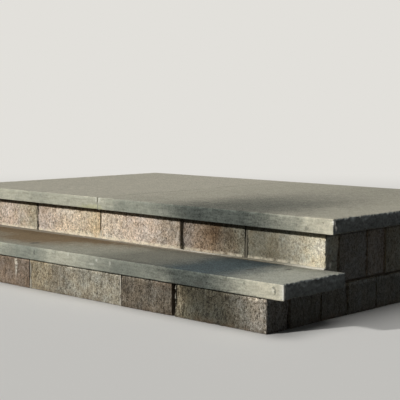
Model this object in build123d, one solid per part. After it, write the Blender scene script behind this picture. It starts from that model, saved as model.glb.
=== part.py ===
from build123d import *
from random import Random
import os

# Outdoor stone steps of two rises: a bluestone tread slab and a bluestone landing in two slabs, set
# on courses of split granite round a poured core.
# Millimetres. X runs along the front, Y from the front to the back, Z up.
# The origin is on the ground, under the middle of the whole footprint.

# Overall sizes
landing_width = 2080.0
landing_depth = 1219.0
going = 262.0
lower_rise = 170.0
upper_rise = 178.0

# Slabs
slab_thickness = 50.8
side_overhang = 78.0
tread_side_overhang = 88.0
landing_overhang = 62.0
tread_overhang = 25.0
eased_arris = 2.5
right_slab_width = 1137.0
slab_joint = 5.0
slab_joint_recess = 1.0

# Pitched ends of the slabs
rock_depth = 2.0
rock_roughness = 3.5
spall_pitch = 34.0

# Joints and beds
bed_joint = 6.0
thin_joint = 5.0
wide_joint = 11.0
corner_joint = 9.0
joint_recess = 3.0
bed_recess = 8.0
foot_bead_depth = 9.0
foot_bead_height = 6.0

# Granite of the risers: the lengths that are named run from the right-hand end of each riser,
# and the stones past them share what is left
lower_stone_depth = 115.0
upper_stone_depth = 77.0
lower_end_stone = 405.0
lower_second_stone = 258.0
lower_third_stone = 510.0
upper_end_stone = 347.0
upper_second_stone = 306.0
upper_third_stone = 446.0
further_riser_stones = 2

# Granite of the side walls: the named lengths run from the front
side_stone_depth = 100.0
side_lower_first = 161.0
side_lower_second = 142.0
side_lower_third = 167.0
side_upper_first = 161.0
side_upper_second = 107.0
further_side_stones = 3

# Split faces
fall_reach = 26.0
fall_depth = 3.2
fall_share = 0.3
broken_arris = 2.2
face_play = 2.5

# Heights and faces that follow
tread_top = lower_rise
landing_top = lower_rise + upper_rise
tread_base = tread_top - slab_thickness
landing_base = landing_top - slab_thickness
lower_course_top = tread_base - bed_joint
upper_course_top = landing_base - bed_joint
half_width = landing_width / 2
side_face = half_width - side_overhang
tread_half = side_face + tread_side_overhang
tread_front = -(going + landing_depth) / 2
back_face = tread_front + going + landing_depth
landing_front = tread_front + going
lower_face = tread_front + tread_overhang
upper_face = landing_front + landing_overhang

LEFT = -1
RIGHT = 1


def block(x_from, x_to, y_from, y_to, z_from, z_to):
    """A squared block between three pairs of planes."""
    size = (x_to - x_from, y_to - y_from, z_to - z_from)
    middle = ((x_from + x_to) / 2, (y_from + y_to) / 2, (z_from + z_to) / 2)
    return Pos(*middle) * Box(*size)


def fall_away(stone, centre, half, outward, towards, reach, drop):
    """Cuts a face back by drop at one of its arrises, from reach inside that arris."""
    face_point = centre + outward * abs(half.dot(outward)) + towards * (abs(half.dot(towards)) - reach)
    slope = Plane(origin=face_point, z_dir=outward * reach + towards * drop)
    return split(stone, bisect_by=slope, keep=Keep.BOTTOM)


def split_faced(stone, outward, luck):
    """Works one face as split stone: it falls away to each arris, and each arris is broken."""
    bounds = stone.bounding_box()
    centre = bounds.center()
    half = bounds.size / 2
    for axis in (Vector(1, 0, 0), Vector(0, 1, 0), Vector(0, 0, 1)):
        if abs(axis.dot(outward)) > 0.5:
            continue
        for towards in (axis, -axis):
            across = 2 * abs(half.dot(axis))
            reach = min(fall_reach * luck.uniform(0.6, 1.4), fall_share * across)
            drop = fall_depth * luck.uniform(0.5, 1.0)
            stone = fall_away(stone, centre, half, outward, towards, reach, drop)
            corner = drop + broken_arris * luck.uniform(0.6, 1.3)
            stone = fall_away(stone, centre, half, outward, towards, broken_arris, corner)
    return stone


def course(start, end, named, further):
    """Where the stones of a course begin and end: the named ones, then further ones that share the rest."""
    stones = []
    place = start
    for length, joint_after in named:
        stones.append((place, place + length))
        place = place + length + joint_after
    length = (end - place - thin_joint * (further - 1)) / further
    for _ in range(further):
        stones.append((place, place + length))
        place = place + length + thin_joint
    return stones


def riser_course(name, named, face, depth, z_from, z_to, seed):
    """Granite across the front, numbered from the right, with the pointing between the stones."""
    luck = Random(seed)
    spans = course(-side_face, side_face, named, further_riser_stones)
    pointing = []
    for number, (near, far) in enumerate(spans, 1):
        stone_face = face + face_play * luck.random()
        stone = block(-far, -near, stone_face, face + depth, z_from, z_to)
        stone = split_faced(stone, Vector(0, -1, 0), luck)
        if near == -side_face:
            stone = split_faced(stone, Vector(1, 0, 0), luck)
        if number == len(spans):
            stone = split_faced(stone, Vector(-1, 0, 0), luck)
        nodes[f"{name}_{number}"] = stone
    for (_, joint_from), (joint_to, _) in zip(spans, spans[1:]):
        pointing.append(block(-joint_to, -joint_from, face + joint_recess, face + depth, z_from, z_to))
    return pointing


def side_course(name, side, named, front, z_from, z_to, seed):
    """Granite along one side wall, numbered from the front, with the pointing between the stones."""
    luck = Random(seed)
    spans = course(front + corner_joint, back_face, named, further_side_stones)
    strip = sorted((side * (side_face - joint_recess), side * (side_face - side_stone_depth)))
    pointing = [block(*strip, front, front + corner_joint, z_from, z_to)]
    for number, (near, far) in enumerate(spans, 1):
        stone_face = side_face - face_play * luck.random()
        wall = sorted((side * stone_face, side * (side_face - side_stone_depth)))
        stone = block(*wall, near, far, z_from, z_to)
        nodes[f"{name}_{number}"] = split_faced(stone, Vector(side, 0, 0), luck)
    for (_, joint_from), (joint_to, _) in zip(spans, spans[1:]):
        pointing.append(block(*strip, joint_from, joint_to, z_from, z_to))
    return pointing


def slab(x_from, x_to, y_from, y_to, base, pitched_sides, seed):
    """A slab with eased front arrises, whose named sides are pitched to a rough rock face behind a
    clean front corner."""
    levels = (0, eased_arris, slab_thickness / 2, slab_thickness - eased_arris, slab_thickness)
    spalls = max(2, round((y_to - y_from) / spall_pitch))
    sections = []
    for level in levels:
        at_surface = level in (0, slab_thickness)
        at_middle = level == slab_thickness / 2
        front = y_from + eased_arris if at_surface else y_from
        ends = []
        for side, edge in ((RIGHT, x_to), (LEFT, x_from)):
            pitched = side in pitched_sides
            steps = spalls if pitched else 1
            luck = Random(f"{seed} {level}")
            end = []
            for step in range(steps + 1):
                back_by = 0 if at_middle else rock_depth / 2
                back_by = rock_depth if at_surface else back_by
                back_by = back_by + rock_roughness * luck.random()
                if step == 0:
                    back_by = eased_arris if at_surface else 0
                x = edge - side * back_by if pitched else edge
                end.append(Vector(x, front + (y_to - front) * step / steps, base + level))
            ends.append(end)
        right_end, left_end = ends
        sections.append(Face(Wire.make_polygon(right_end + left_end[::-1], close=True)))
    return Solid.make_loft([section.outer_wire() for section in sections], ruled=True)


nodes = {}

# Poured core, stepped as the courses are
inner_side = side_face - side_stone_depth
lower_back = lower_face + lower_stone_depth
upper_back = upper_face + upper_stone_depth
nodes["lower_core"] = block(-inner_side, inner_side, lower_back, back_face, 0, lower_course_top)
nodes["upper_core"] = block(-inner_side, inner_side, upper_back, back_face, tread_base, upper_course_top)

# Lower and upper risers
lower_named = (
    (lower_end_stone, wide_joint),
    (lower_second_stone, thin_joint),
    (lower_third_stone, thin_joint),
)
upper_named = (
    (upper_end_stone, thin_joint),
    (upper_second_stone, wide_joint),
    (upper_third_stone, thin_joint),
)
riser_pointing = riser_course(
    "lower_riser_stone", lower_named, lower_face, lower_stone_depth, 0, lower_course_top, 11
)
riser_pointing += riser_course(
    "upper_riser_stone", upper_named, upper_face, upper_stone_depth, tread_base, upper_course_top, 23
)
nodes["riser_pointing"] = Compound(riser_pointing)

# Side walls, whose courses start behind the corner stones of the risers
side_lower_named = (
    (side_lower_first, thin_joint),
    (side_lower_second, thin_joint),
    (side_lower_third, thin_joint),
)
side_upper_named = (
    (side_upper_first, thin_joint),
    (side_upper_second, thin_joint),
)
for word, side in (("right", RIGHT), ("left", LEFT)):
    pointing = side_course(
        f"{word}_lower_stone", side, side_lower_named, lower_back, 0, lower_course_top, 37 + side
    )
    pointing += side_course(
        f"{word}_upper_stone", side, side_upper_named, upper_back, tread_base, upper_course_top, 53 + side
    )
    nodes[f"{word}_pointing"] = Compound(pointing)

# Mortar beds under the upper course and the slabs, kept back from the faces
bed_side = side_face - bed_recess
nodes["course_bed"] = block(
    -bed_side, bed_side, lower_face + bed_recess, back_face, lower_course_top, tread_base
)
nodes["landing_bed"] = block(
    -bed_side, bed_side, upper_face + bed_recess, back_face, upper_course_top, landing_base
)

# Slabs, with the filled joint across the landing
slab_split = half_width - right_slab_width
nodes["tread_slab"] = slab(-tread_half, tread_half, tread_front, upper_face, tread_base, (LEFT, RIGHT), 5)
nodes["landing_slab_right"] = slab(
    slab_split, half_width, landing_front, back_face, landing_base, (RIGHT,), 7
)
nodes["landing_slab_left"] = slab(
    -half_width, slab_split - slab_joint, landing_front, back_face, landing_base, (LEFT,), 7
)
nodes["landing_joint"] = block(
    slab_split - slab_joint, slab_split, landing_front + slab_joint_recess, back_face, landing_base,
    landing_top - eased_arris
)

# Mortar struck along the foot of the upper riser, on the back of the tread
bead_outline = Polyline(
    (0, upper_face, tread_top),
    (0, upper_face - foot_bead_depth, tread_top),
    (0, upper_face, tread_top + foot_bead_height),
    close=True,
)
nodes["foot_mortar"] = Pos(-side_face, 0, 0) * extrude(make_face(bead_outline), 2 * side_face, dir=(1, 0, 0))

os.makedirs("parts", exist_ok=True)
for name, shape in nodes.items():
    shape.label = name
    export_step(shape, f"parts/{name}.step")
print(len(nodes), "nodes")
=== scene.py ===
# %% [markdown]
# Stone entry steps, dressed.
# The construction of these steps is already modelled: every slab, stone, bed and joint has its size and
# its place. This lesson gives each of them the surface of the real material. The slabs are bluestone,
# sawn flat, with their ends pitched off by a chisel. The courses under them are granite, split by wedges.
# Everything is in metres, in the frame of the construction: X runs along the front, Y runs from the front
# to the back, and Z runs up.

# %% Load the construction
import bmesh
import bpy
from math import radians
from mathutils import Matrix, Vector
from random import Random


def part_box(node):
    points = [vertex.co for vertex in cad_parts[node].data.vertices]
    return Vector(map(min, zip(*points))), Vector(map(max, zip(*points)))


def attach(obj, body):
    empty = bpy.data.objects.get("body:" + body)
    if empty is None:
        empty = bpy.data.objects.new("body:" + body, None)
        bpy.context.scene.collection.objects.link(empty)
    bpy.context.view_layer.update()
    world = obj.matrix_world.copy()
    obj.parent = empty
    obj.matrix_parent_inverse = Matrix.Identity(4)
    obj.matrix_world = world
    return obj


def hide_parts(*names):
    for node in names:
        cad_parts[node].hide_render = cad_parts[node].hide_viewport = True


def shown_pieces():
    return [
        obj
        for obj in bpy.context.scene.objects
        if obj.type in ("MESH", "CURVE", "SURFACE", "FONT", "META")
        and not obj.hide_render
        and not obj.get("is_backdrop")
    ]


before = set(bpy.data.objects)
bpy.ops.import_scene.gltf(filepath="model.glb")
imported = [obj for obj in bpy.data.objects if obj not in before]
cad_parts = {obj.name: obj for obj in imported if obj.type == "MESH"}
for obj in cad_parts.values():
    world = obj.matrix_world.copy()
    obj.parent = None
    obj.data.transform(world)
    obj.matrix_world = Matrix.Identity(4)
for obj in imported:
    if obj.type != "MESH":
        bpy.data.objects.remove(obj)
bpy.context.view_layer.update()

# %% [markdown]
# The camera comes first, because every later choice is judged through it.
# The photograph was taken from low down, to the right of the steps, through a long lens. The turn, the
# dip and the lens were found by lining up the straight edges of the two slabs with it.

# %% Camera
camera_place = Vector((3.0203, -3.1977, 0.7094))
camera_turn = radians(43.35)
camera_dip = radians(5.14)
camera_roll = radians(0.22)
camera_lens = 94.91
upright = radians(90)

lens = bpy.data.cameras.new("photo_camera")
lens.lens = camera_lens
camera = bpy.data.objects.new("photo_camera", lens)
bpy.context.scene.collection.objects.link(camera)
camera.matrix_world = (
    Matrix.Translation(camera_place)
    @ Matrix.Rotation(camera_turn, 4, "Z")
    @ Matrix.Rotation(upright - camera_dip, 4, "X")
    @ Matrix.Rotation(camera_roll, 4, "Z")
)
bpy.context.scene.camera = camera
print("camera at", tuple(camera_place), "with a lens of", camera_lens, "mm")

# %% [markdown]
# Node trees are usually drawn by hand in Blender's editor. Here they are written down, so that they can
# be read. These short helpers add one node at a time, and feed each of its sockets with a plain value or
# with another node's output. The same maths nodes work in materials and in geometry trees, and a colour
# is handled as a vector of three numbers in both.

# %% Helpers for numbers and vectors
def add_node(tree, kind, feeds=(), **settings):
    """One node, with its settings made first and its sockets fed by values or by other nodes."""
    node = tree.nodes.new(kind)
    for name, value in settings.items():
        setattr(node, name, value)
    for place, value in dict(feeds).items():
        socket = node.inputs[place]
        if isinstance(value, bpy.types.NodeSocket):
            tree.links.new(value, socket)
        else:
            socket.default_value = value
    return node


def maths(tree, operation, first, second=0.0, clamped=False):
    """A number worked out from one or two numbers."""
    node = add_node(tree, "ShaderNodeMath", {0: first, 1: second}, operation=operation, use_clamp=clamped)
    return node.outputs[0]


def times(tree, first, *others):
    """Numbers multiplied together."""
    for other in others:
        first = maths(tree, "MULTIPLY", first, other)
    return first


def added(tree, first, *others):
    """Numbers added up."""
    for other in others:
        first = maths(tree, "ADD", first, other)
    return first


def less(tree, first, second, clamped=False):
    """The first number less the second."""
    return maths(tree, "SUBTRACT", first, second, clamped)


def weighed(tree, weights, **patterns):
    """Patterns added up, each times the weight that goes by its name."""
    return added(tree, *(times(tree, pattern, weights[name]) for name, pattern in patterns.items()))


def vector_maths(tree, operation, first, second=(0.0, 0.0, 0.0)):
    """A vector worked out from one or two vectors."""
    return add_node(tree, "ShaderNodeVectorMath", {0: first, 1: second}, operation=operation).outputs[0]


def multiplied(tree, vector, factors):
    """A place stretched along each axis, or a colour tinted by another."""
    return vector_maths(tree, "MULTIPLY", vector, factors)


def measured(tree, operation, first, second=(0.0, 0.0, 0.0)):
    """A number worked out from one or two vectors: a length or a dot product."""
    node = add_node(tree, "ShaderNodeVectorMath", {0: first, 1: second}, operation=operation)
    return node.outputs["Value"]


def scaled(tree, vector, factor):
    """A vector made longer or shorter, or a colour made brighter or darker."""
    node = add_node(tree, "ShaderNodeVectorMath", {0: vector, "Scale": factor}, operation="SCALE")
    return node.outputs[0]


def joined(tree, x, y, z):
    """A vector made of three numbers."""
    return add_node(tree, "ShaderNodeCombineXYZ", {0: x, 1: y, 2: z}).outputs[0]


def parted(tree, vector):
    """The three numbers of a vector."""
    return add_node(tree, "ShaderNodeSeparateXYZ", {0: vector}).outputs


# %% [markdown]
# Patterns and colours come next. Noise gives clouds, cells give crystals and bowls, and a ramp cuts either
# of them to size. From here on, a noise is written as one row of numbers: how many blobs go to the metre,
# how much detail, how rough, and its seed. Clumps have two more before the seed: the levels of the noise
# where a clump begins and where it is full. A ramp is a row too: where it starts and where it ends, and
# its value before and after.

# %% Helpers for patterns and colours
NO_TINT = (1.0, 1.0, 1.0)
MIDDLE_OF_COLOURS = (0.5, 0.5, 0.5)
FRAY = (38.0, 4.0, 0.65)
PATCH_EDGE = (0.3, 1.0, 1.0, 0.0)
SCREEN_WHITE = 255
SCREEN_OFFSET = 0.055
SCREEN_POWER = 2.4


def ramp_between(tree, value, low, high, to_low=0.0, to_high=1.0):
    """A smooth step: to_low below low, to_high above high."""
    feeds = {"Value": value, "From Min": low, "From Max": high, "To Min": to_low, "To Max": to_high}
    return add_node(tree, "ShaderNodeMapRange", feeds, interpolation_type="SMOOTHSTEP").outputs[0]


def blended(tree, factor, under, over):
    """One vector or colour laid over another, as far as factor says."""
    return add_node(tree, "ShaderNodeMix", {0: factor, 4: under, 5: over}, data_type="VECTOR").outputs[1]


def blended_number(tree, factor, under, over):
    """One number turned into another, as far as factor says."""
    return add_node(tree, "ShaderNodeMix", {0: factor, 2: under, 3: over}, data_type="FLOAT").outputs[0]


def noise(tree, place, per_metre, detail, roughness, seed):
    """Cloudy noise from 0 to 1."""
    feeds = {"Vector": place, "W": seed, "Scale": per_metre, "Detail": detail, "Roughness": roughness}
    return add_node(tree, "ShaderNodeTexNoise", feeds, noise_dimensions="4D").outputs[0]


def clumps(tree, place, per_metre, detail, roughness, low, high, seed):
    """Noise cut to clumps: 0 below low, 1 above high."""
    return ramp_between(tree, noise(tree, place, per_metre, detail, roughness, seed), low, high)


def centred(tree, pattern):
    """A pattern of 0 to 1, turned into one of minus a half to a half."""
    return less(tree, pattern, 0.5)


def swing(tree, pattern, amount):
    """A pattern of 0 to 1, turned into a plus or minus of up to half the amount."""
    return times(tree, centred(tree, pattern), amount)


def cells(tree, place, per_metre):
    """A pattern of grains, so many to the metre: how far a point is from its grain's middle, and the
    grain's own random number."""
    feeds = {"Vector": place, "Scale": per_metre, "Randomness": 1.0}
    node = add_node(tree, "ShaderNodeTexVoronoi", feeds, feature="F1")
    return node.outputs["Distance"], parted(tree, node.outputs["Color"])[0]


def patch(tree, place, middle, reach, seed, fray):
    """A stain: 1 at its middle, 0 past its reach along each axis, with a frayed edge."""
    away = vector_maths(tree, "DIVIDE", vector_maths(tree, "SUBTRACT", place, middle), reach)
    ragged = swing(tree, noise(tree, place, *FRAY, seed), fray)
    return ramp_between(tree, added(tree, measured(tree, "LENGTH", away), ragged), *PATCH_EDGE)


def patches(tree, place, rows):
    """Patches added up. Each row ends with how strong its patch is."""
    return added(tree, *(times(tree, patch(tree, place, *where), strength) for *where, strength in rows))


def tone(red, green, blue):
    """A colour as it is seen on a screen, from 0 to 255, turned into the light that it gives back."""
    levels = (part / SCREEN_WHITE for part in (red, green, blue))
    return tuple(((level + SCREEN_OFFSET) / (1 + SCREEN_OFFSET)) ** SCREEN_POWER for level in levels)


print("white on the screen gives back", tone(SCREEN_WHITE, SCREEN_WHITE, SCREEN_WHITE), "of the light")

# %% [markdown]
# Part of the steps is dark, in a soft band that slants down across both of them. This band is painted
# shadow. It may be damp or a shadow, and is taken here as damp. Every material darkens in it, so it is
# worked out once, from a point's place in the frame, and each material brings its own shade for it.

# %% The painted shadow band
SHADOW_BAND_SLANT = 0.58
SHADOW_BAND_MIDDLE = 0.765
SHADOW_BAND_REACH = 0.19
SHADOW_BAND_SPREAD = 0.5
SHADOW_BAND_WANDER = (7.0, 4.0, 0.6, 40.0)
SHADOW_BAND_WANDERING = 0.45
SHADOW_BAND_BY_DEPTH = (-0.35, 0.4, 1.0, 0.2)
SHADOW_BAND_EDGE_RAMP = (0.2, 1.0, 1.0, 0.0)
BAND_SHADOW_TINT = (0.32, 0.31, 0.28)


def painted_shadow_band(tree, place, widened=0.0):
    """How deep a point lies in the painted shadow band, 0 to 1. The band is wider higher up, and may be
    widened further.
    """
    x, y, z = parted(tree, place)
    slanted = added(tree, x, times(tree, z, SHADOW_BAND_SLANT))
    from_middle = maths(tree, "ABSOLUTE", less(tree, slanted, SHADOW_BAND_MIDDLE))
    reach = added(tree, SHADOW_BAND_REACH, times(tree, z, SHADOW_BAND_SPREAD), widened)
    wander = swing(tree, noise(tree, place, *SHADOW_BAND_WANDER), SHADOW_BAND_WANDERING)
    share = added(tree, maths(tree, "DIVIDE", from_middle, reach), wander)
    forward = ramp_between(tree, y, *SHADOW_BAND_BY_DEPTH)
    return times(tree, ramp_between(tree, share, *SHADOW_BAND_EDGE_RAMP), forward)


def with_painted_shadow(tree, colour, shadowed, shade):
    """A colour darkened towards shade where the painted shadow band lies."""
    return multiplied(tree, colour, blended(tree, shadowed, NO_TINT, shade))


print("the damp band is", 2 * SHADOW_BAND_REACH, "m wide at the ground")

# %% [markdown]
# A worked stone starts as a blank: a closed box whose showing sides carry a fine grid, fine enough to be
# carved, and whose hidden sides are single faces, because nobody sees them.
# A cube cut up evenly would spend most of its faces in the dark. Here each axis gets its own list of
# places, close together where an arris has to be rounded and wide apart inside the wall.

# %% Places along an axis
FRONT_GRID = 0.003
SIDE_GRID = 0.004
ARRIS_STEPS = (0.0, 0.0012, 0.0026, 0.0044, 0.0068)
WIDENING = 1.6


def even_places(low, high, step):
    """Places from low to high, about step apart, closer together near both ends."""
    inner_low = low + ARRIS_STEPS[-1]
    inner_high = high - ARRIS_STEPS[-1]
    count = max(1, round((inner_high - inner_low) / step))
    middle = [inner_low + (inner_high - inner_low) * i / count for i in range(1, count)]
    return [low + s for s in ARRIS_STEPS] + middle + [high - s for s in reversed(ARRIS_STEPS)]


def thin_places(low, high, rows):
    """Places across a thin joint: rows of equal height."""
    return [low + (high - low) * i / rows for i in range(rows + 1)]


def fading_places(start, end, step):
    """Places from start, a showing face, to end, deep in the wall: fine first, then wider and wider."""
    way = 1 if end > start else -1
    depth = abs(end - start)
    reached = [s for s in ARRIS_STEPS if s < depth]
    while reached[-1] + step < depth:
        reached.append(reached[-1] + step)
        step = step * WIDENING
    reached[-1] = depth
    places = [start + way * s for s in reached]
    return places if way > 0 else places[::-1]


print("an arris gets", len(ARRIS_STEPS), "rows within", ARRIS_STEPS[-1], "m")

# %% [markdown]
# The blank is put together side by side. Blender has a grid and a cube, but neither takes a list of
# places, so the faces are written out here, and neighbouring sides share their corners to stay closed.

# %% Blanks
def blank(name, places, bands):
    """A closed box with a grid through the given places. bands says, for a side such as "+x", how many
    rows of its grid to keep round its rim, with one face for the middle. Other sides are all grid."""
    counts = [len(axis) - 1 for axis in places]
    corners = {}
    points = []
    faces = []

    def corner(index):
        if index not in corners:
            corners[index] = len(points)
            points.append(tuple(places[axis][index[axis]] for axis in range(3)))
        return corners[index]

    for axis, word in enumerate("xyz"):
        u, v = (axis + 1) % 3, (axis + 2) % 3
        for end, sign in ((0, "-"), (counts[axis], "+")):

            def at(i, j):
                index = [0, 0, 0]
                index[axis], index[u], index[v] = end, i, j
                return corner(tuple(index))

            def put(loop):
                faces.append(loop if sign == "+" else loop[::-1])

            rim = bands.get(sign + word, max(counts))
            for i in range(counts[u]):
                for j in range(counts[v]):
                    inside = rim <= i < counts[u] - rim and rim <= j < counts[v] - rim
                    if not inside:
                        put([at(i, j), at(i + 1, j), at(i + 1, j + 1), at(i, j + 1)])
            low_u, high_u, low_v, high_v = rim, counts[u] - rim, rim, counts[v] - rim
            if high_u > low_u and high_v > low_v:
                loop = [at(i, low_v) for i in range(low_u, high_u)]
                loop += [at(high_u, j) for j in range(low_v, high_v)]
                loop += [at(i, high_v) for i in range(high_u, low_u, -1)]
                loop += [at(low_u, j) for j in range(high_v, low_v, -1)]
                put(loop)
    return new_piece(name, points, faces)


def new_piece(name, points, faces):
    """An object in the scene, with a mesh of these points and faces."""
    mesh = bpy.data.meshes.new(name)
    mesh.from_pydata(points, [], faces)
    mesh.update()
    piece = bpy.data.objects.new(name, mesh)
    bpy.context.scene.collection.objects.link(piece)
    return piece


def middle_and_half(low, high):
    """The middle of a box, and half its size."""
    return (Vector(low) + Vector(high)) / 2, (Vector(high) - Vector(low)) / 2


# %% [markdown]
# Geometry Nodes carve the blanks. A tree takes named inputs, so one tree works every stone, and each
# stone only differs in its numbers.
# The first steps are the same for all of them: measure where a point lies inside the stone's box, pull it
# onto a rounded box whose radius wanders, which is how an arris wears and chips, and remember how close
# to an arris it was, so that the material can use it.

# %% Helpers for geometry trees
SOCKET_KINDS = {float: "NodeSocketFloat", tuple: "NodeSocketVector", str: "NodeSocketMaterial"}


def carving_tree(name, **sizes):
    """A geometry tree that takes a mesh and the named sizes, and the outputs that bring them in."""
    tree = bpy.data.node_groups.new(name, "GeometryNodeTree")
    tree.interface.new_socket("Mesh", in_out="INPUT", socket_type="NodeSocketGeometry")
    for title, start in sizes.items():
        socket = tree.interface.new_socket(title, in_out="INPUT", socket_type=SOCKET_KINDS[type(start)])
        if not isinstance(start, str):
            socket.default_value = start
    tree.interface.new_socket("Mesh", in_out="OUTPUT", socket_type="NodeSocketGeometry")
    return tree, tree.nodes.new("NodeGroupInput").outputs


def place_of_point(tree):
    """Where the point that is being worked on lies."""
    return tree.nodes.new("GeometryNodeInputPosition").outputs[0]


def rounded_place(tree, local, half, radius):
    """A point of a box, seen from its middle, pulled in to the rounded box, and its way out."""
    inner = vector_maths(tree, "SUBTRACT", half, joined(tree, radius, radius, radius))
    kept = vector_maths(tree, "MINIMUM", local, inner)
    kept = vector_maths(tree, "MAXIMUM", kept, scaled(tree, inner, -1.0))
    way_out = vector_maths(tree, "NORMALIZE", vector_maths(tree, "SUBTRACT", local, kept))
    return vector_maths(tree, "ADD", kept, scaled(tree, way_out, radius)), way_out


def arris_nearness(tree, local, half, reach):
    """1 on an arris, falling to 0 at reach from it: the second smallest distance to the box's sides."""
    from_sides = vector_maths(tree, "SUBTRACT", half, vector_maths(tree, "ABSOLUTE", local))
    x, y, z = parted(tree, from_sides)
    least_xy = maths(tree, "MINIMUM", x, y)
    most_xy = maths(tree, "MAXIMUM", x, y)
    second = maths(tree, "MAXIMUM", least_xy, maths(tree, "MINIMUM", most_xy, z))
    return ramp_between(tree, second, 0.0, reach, 1.0, 0.0)


def finish_carving(tree, mesh, place, numbers, colours, material):
    """Marks the points with named numbers and colours, moves them, and gives the mesh its material."""
    for data_type, marks in (("FLOAT", numbers), ("FLOAT_VECTOR", colours)):
        for title, value in marks.items():
            feeds = {"Geometry": mesh, "Name": title, "Value": value}
            mesh = add_node(tree, "GeometryNodeStoreNamedAttribute", feeds, data_type=data_type).outputs[0]
    mesh = add_node(tree, "GeometryNodeSetPosition", {"Geometry": mesh, "Position": place}).outputs[0]
    mesh = add_node(tree, "GeometryNodeSetShadeSmooth", {"Geometry": mesh}).outputs[0]
    mesh = add_node(tree, "GeometryNodeRealizeInstances", {"Geometry": mesh}).outputs[0]
    mesh = add_node(tree, "GeometryNodeSetMaterial", {"Geometry": mesh, "Material": material}).outputs[0]
    add_node(tree, "NodeGroupOutput", {"Mesh": mesh})
    print("tree", tree.name, "with", len(tree.nodes), "nodes")


def carve(piece, tree, **sizes):
    """Runs a tree over a piece with these sizes, and keeps the result as its plain mesh."""
    modifier = piece.modifiers.new(tree.name, "NODES")
    modifier.node_group = tree
    for item in tree.interface.items_tree:
        if item.in_out == "INPUT" and item.name in sizes:
            modifier[item.identifier] = sizes[item.name]
    evaluated = piece.evaluated_get(bpy.context.evaluated_depsgraph_get())
    carved = bpy.data.meshes.new_from_object(evaluated)
    piece.modifiers.remove(modifier)
    blank_mesh = piece.data
    piece.data = carved
    carved.name = piece.name
    bpy.data.meshes.remove(blank_mesh)
    return piece


def stand_for(piece, node):
    """The piece takes the place of a piece of construction, which is hidden, and joins the root body."""
    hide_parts(node)
    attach(piece, "root")


# %% [markdown]
# Split granite. Wedges break the stone along a plane that is never quite flat: it swells and dips over a
# hand's width, and the crystals leave a fine pluck on it. Only the showing faces swell. The beds and the
# ends stay nearly flat, because stones have to sit on each other.
# The tree also works out the stone's own colour. Each stone was cut from another block, so each has a
# tone at its left end, its middle and its right end, and may have a stain.

# %% The tree for split granite
CHIPS = (38.0, 3.0, 0.7, 0.5, 0.75)
SWELLS = (11.0, 2.0, 0.45, 0.3, 0.72)
PLUCKS = (90.0, 4.0, 0.75, 0.25, 0.75)
BITES = (75.0, 3.0, 0.7, 0.42, 0.68)
TONE_DRIFT = (16.0, 4.0, 0.6)
TONE_DRIFTING = 1.3
UPRIGHT_GRAIN = (1.0, 1.0, 0.5)
STONE_ARRIS_BAND = 0.01
BITTEN_CORNER = (0.9, 0.97, 1.0, 1.8)
LEFT_TONE = (-0.9, -0.05, 1.0, 0.0)
RIGHT_TONE = (0.05, 0.9)
STAIN_FRAY = 1.6


def split_granite_tree():
    """Rounds and chips the arrises, carves the split surface inwards, and tints the stone."""
    tree, size = carving_tree(
        "split_granite", Centre=(0.0, 0.0, 0.0), Half=(0.1, 0.1, 0.1), Showing=(1.0, 1.0, 1.0),
        Along=(1.0, 0.0, 0.0), Arris=0.0016, Chip=0.004, Swell=0.005, Pluck=0.003, Bite=0.005, Seed=0.0,
        Left=(0.3, 0.3, 0.3), Middle=(0.3, 0.3, 0.3), Right=(0.3, 0.3, 0.3), Stain=(0.3, 0.3, 0.3),
        StainAt=(0.0, 0.0, 0.0), StainReach=(0.05, 0.05, 0.05), StainDepth=0.0, Corner=0.0,
        Contrast=1.0, Material="granite",
    )
    place = place_of_point(tree)
    local = vector_maths(tree, "SUBTRACT", place, size["Centre"])
    seed = size["Seed"]

    chips = clumps(tree, place, *CHIPS, seed)
    radius = added(tree, size["Arris"], times(tree, chips, size["Chip"]))
    rounded, way_out = rounded_place(tree, local, size["Half"], radius)

    swell = clumps(tree, place, *SWELLS, seed)
    pluck = clumps(tree, multiplied(tree, place, UPRIGHT_GRAIN), *PLUCKS, seed)
    nearness = arris_nearness(tree, local, size["Half"], STONE_ARRIS_BAND)
    bites = clumps(tree, place, *BITES, seed)
    half_length = measured(tree, "DOT_PRODUCT", size["Half"], size["Along"])
    along = maths(tree, "DIVIDE", measured(tree, "DOT_PRODUCT", local, size["Along"]), half_length)
    at_corner = ramp_between(tree, times(tree, along, size["Corner"]), *BITTEN_CORNER)
    depth = added(
        tree, times(tree, swell, size["Swell"]), times(tree, pluck, size["Pluck"]),
        times(tree, nearness, bites, at_corner, size["Bite"]),
    )
    inward = multiplied(tree, scaled(tree, way_out, times(tree, depth, -1.0)), size["Showing"])
    carved = vector_maths(tree, "ADD", size["Centre"], vector_maths(tree, "ADD", rounded, inward))

    along = added(tree, along, swing(tree, noise(tree, place, *TONE_DRIFT, seed), TONE_DRIFTING))
    colour = blended(tree, ramp_between(tree, along, *LEFT_TONE), size["Middle"], size["Left"])
    colour = blended(tree, ramp_between(tree, along, *RIGHT_TONE), colour, size["Right"])
    stain = patch(tree, place, size["StainAt"], size["StainReach"], seed, STAIN_FRAY)
    colour = blended(tree, times(tree, stain, size["StainDepth"]), colour, size["Stain"])

    numbers = {"arris": nearness, "hollow": pluck, "contrast": size["Contrast"]}
    finish_carving(tree, size["Mesh"], carved, numbers, {"tone": colour}, size["Material"])
    return tree


split_granite = split_granite_tree()

# %% [markdown]
# A material starts the same way every time: a shader with its roughness, and the place of a point in the
# frame, which all the patterns read, so that they stay put on the stone. Besides the patterns there are
# blemishes, marks that are seen in one place only. Each has a middle, a reach, a tone and a strength.

# %% Helpers for materials
SHINE = 0.25
WOBBLES_PER_METRE = 150.0
WOBBLE = 0.014
BLEMISH_EDGE = (0.5, 1.1)


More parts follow.
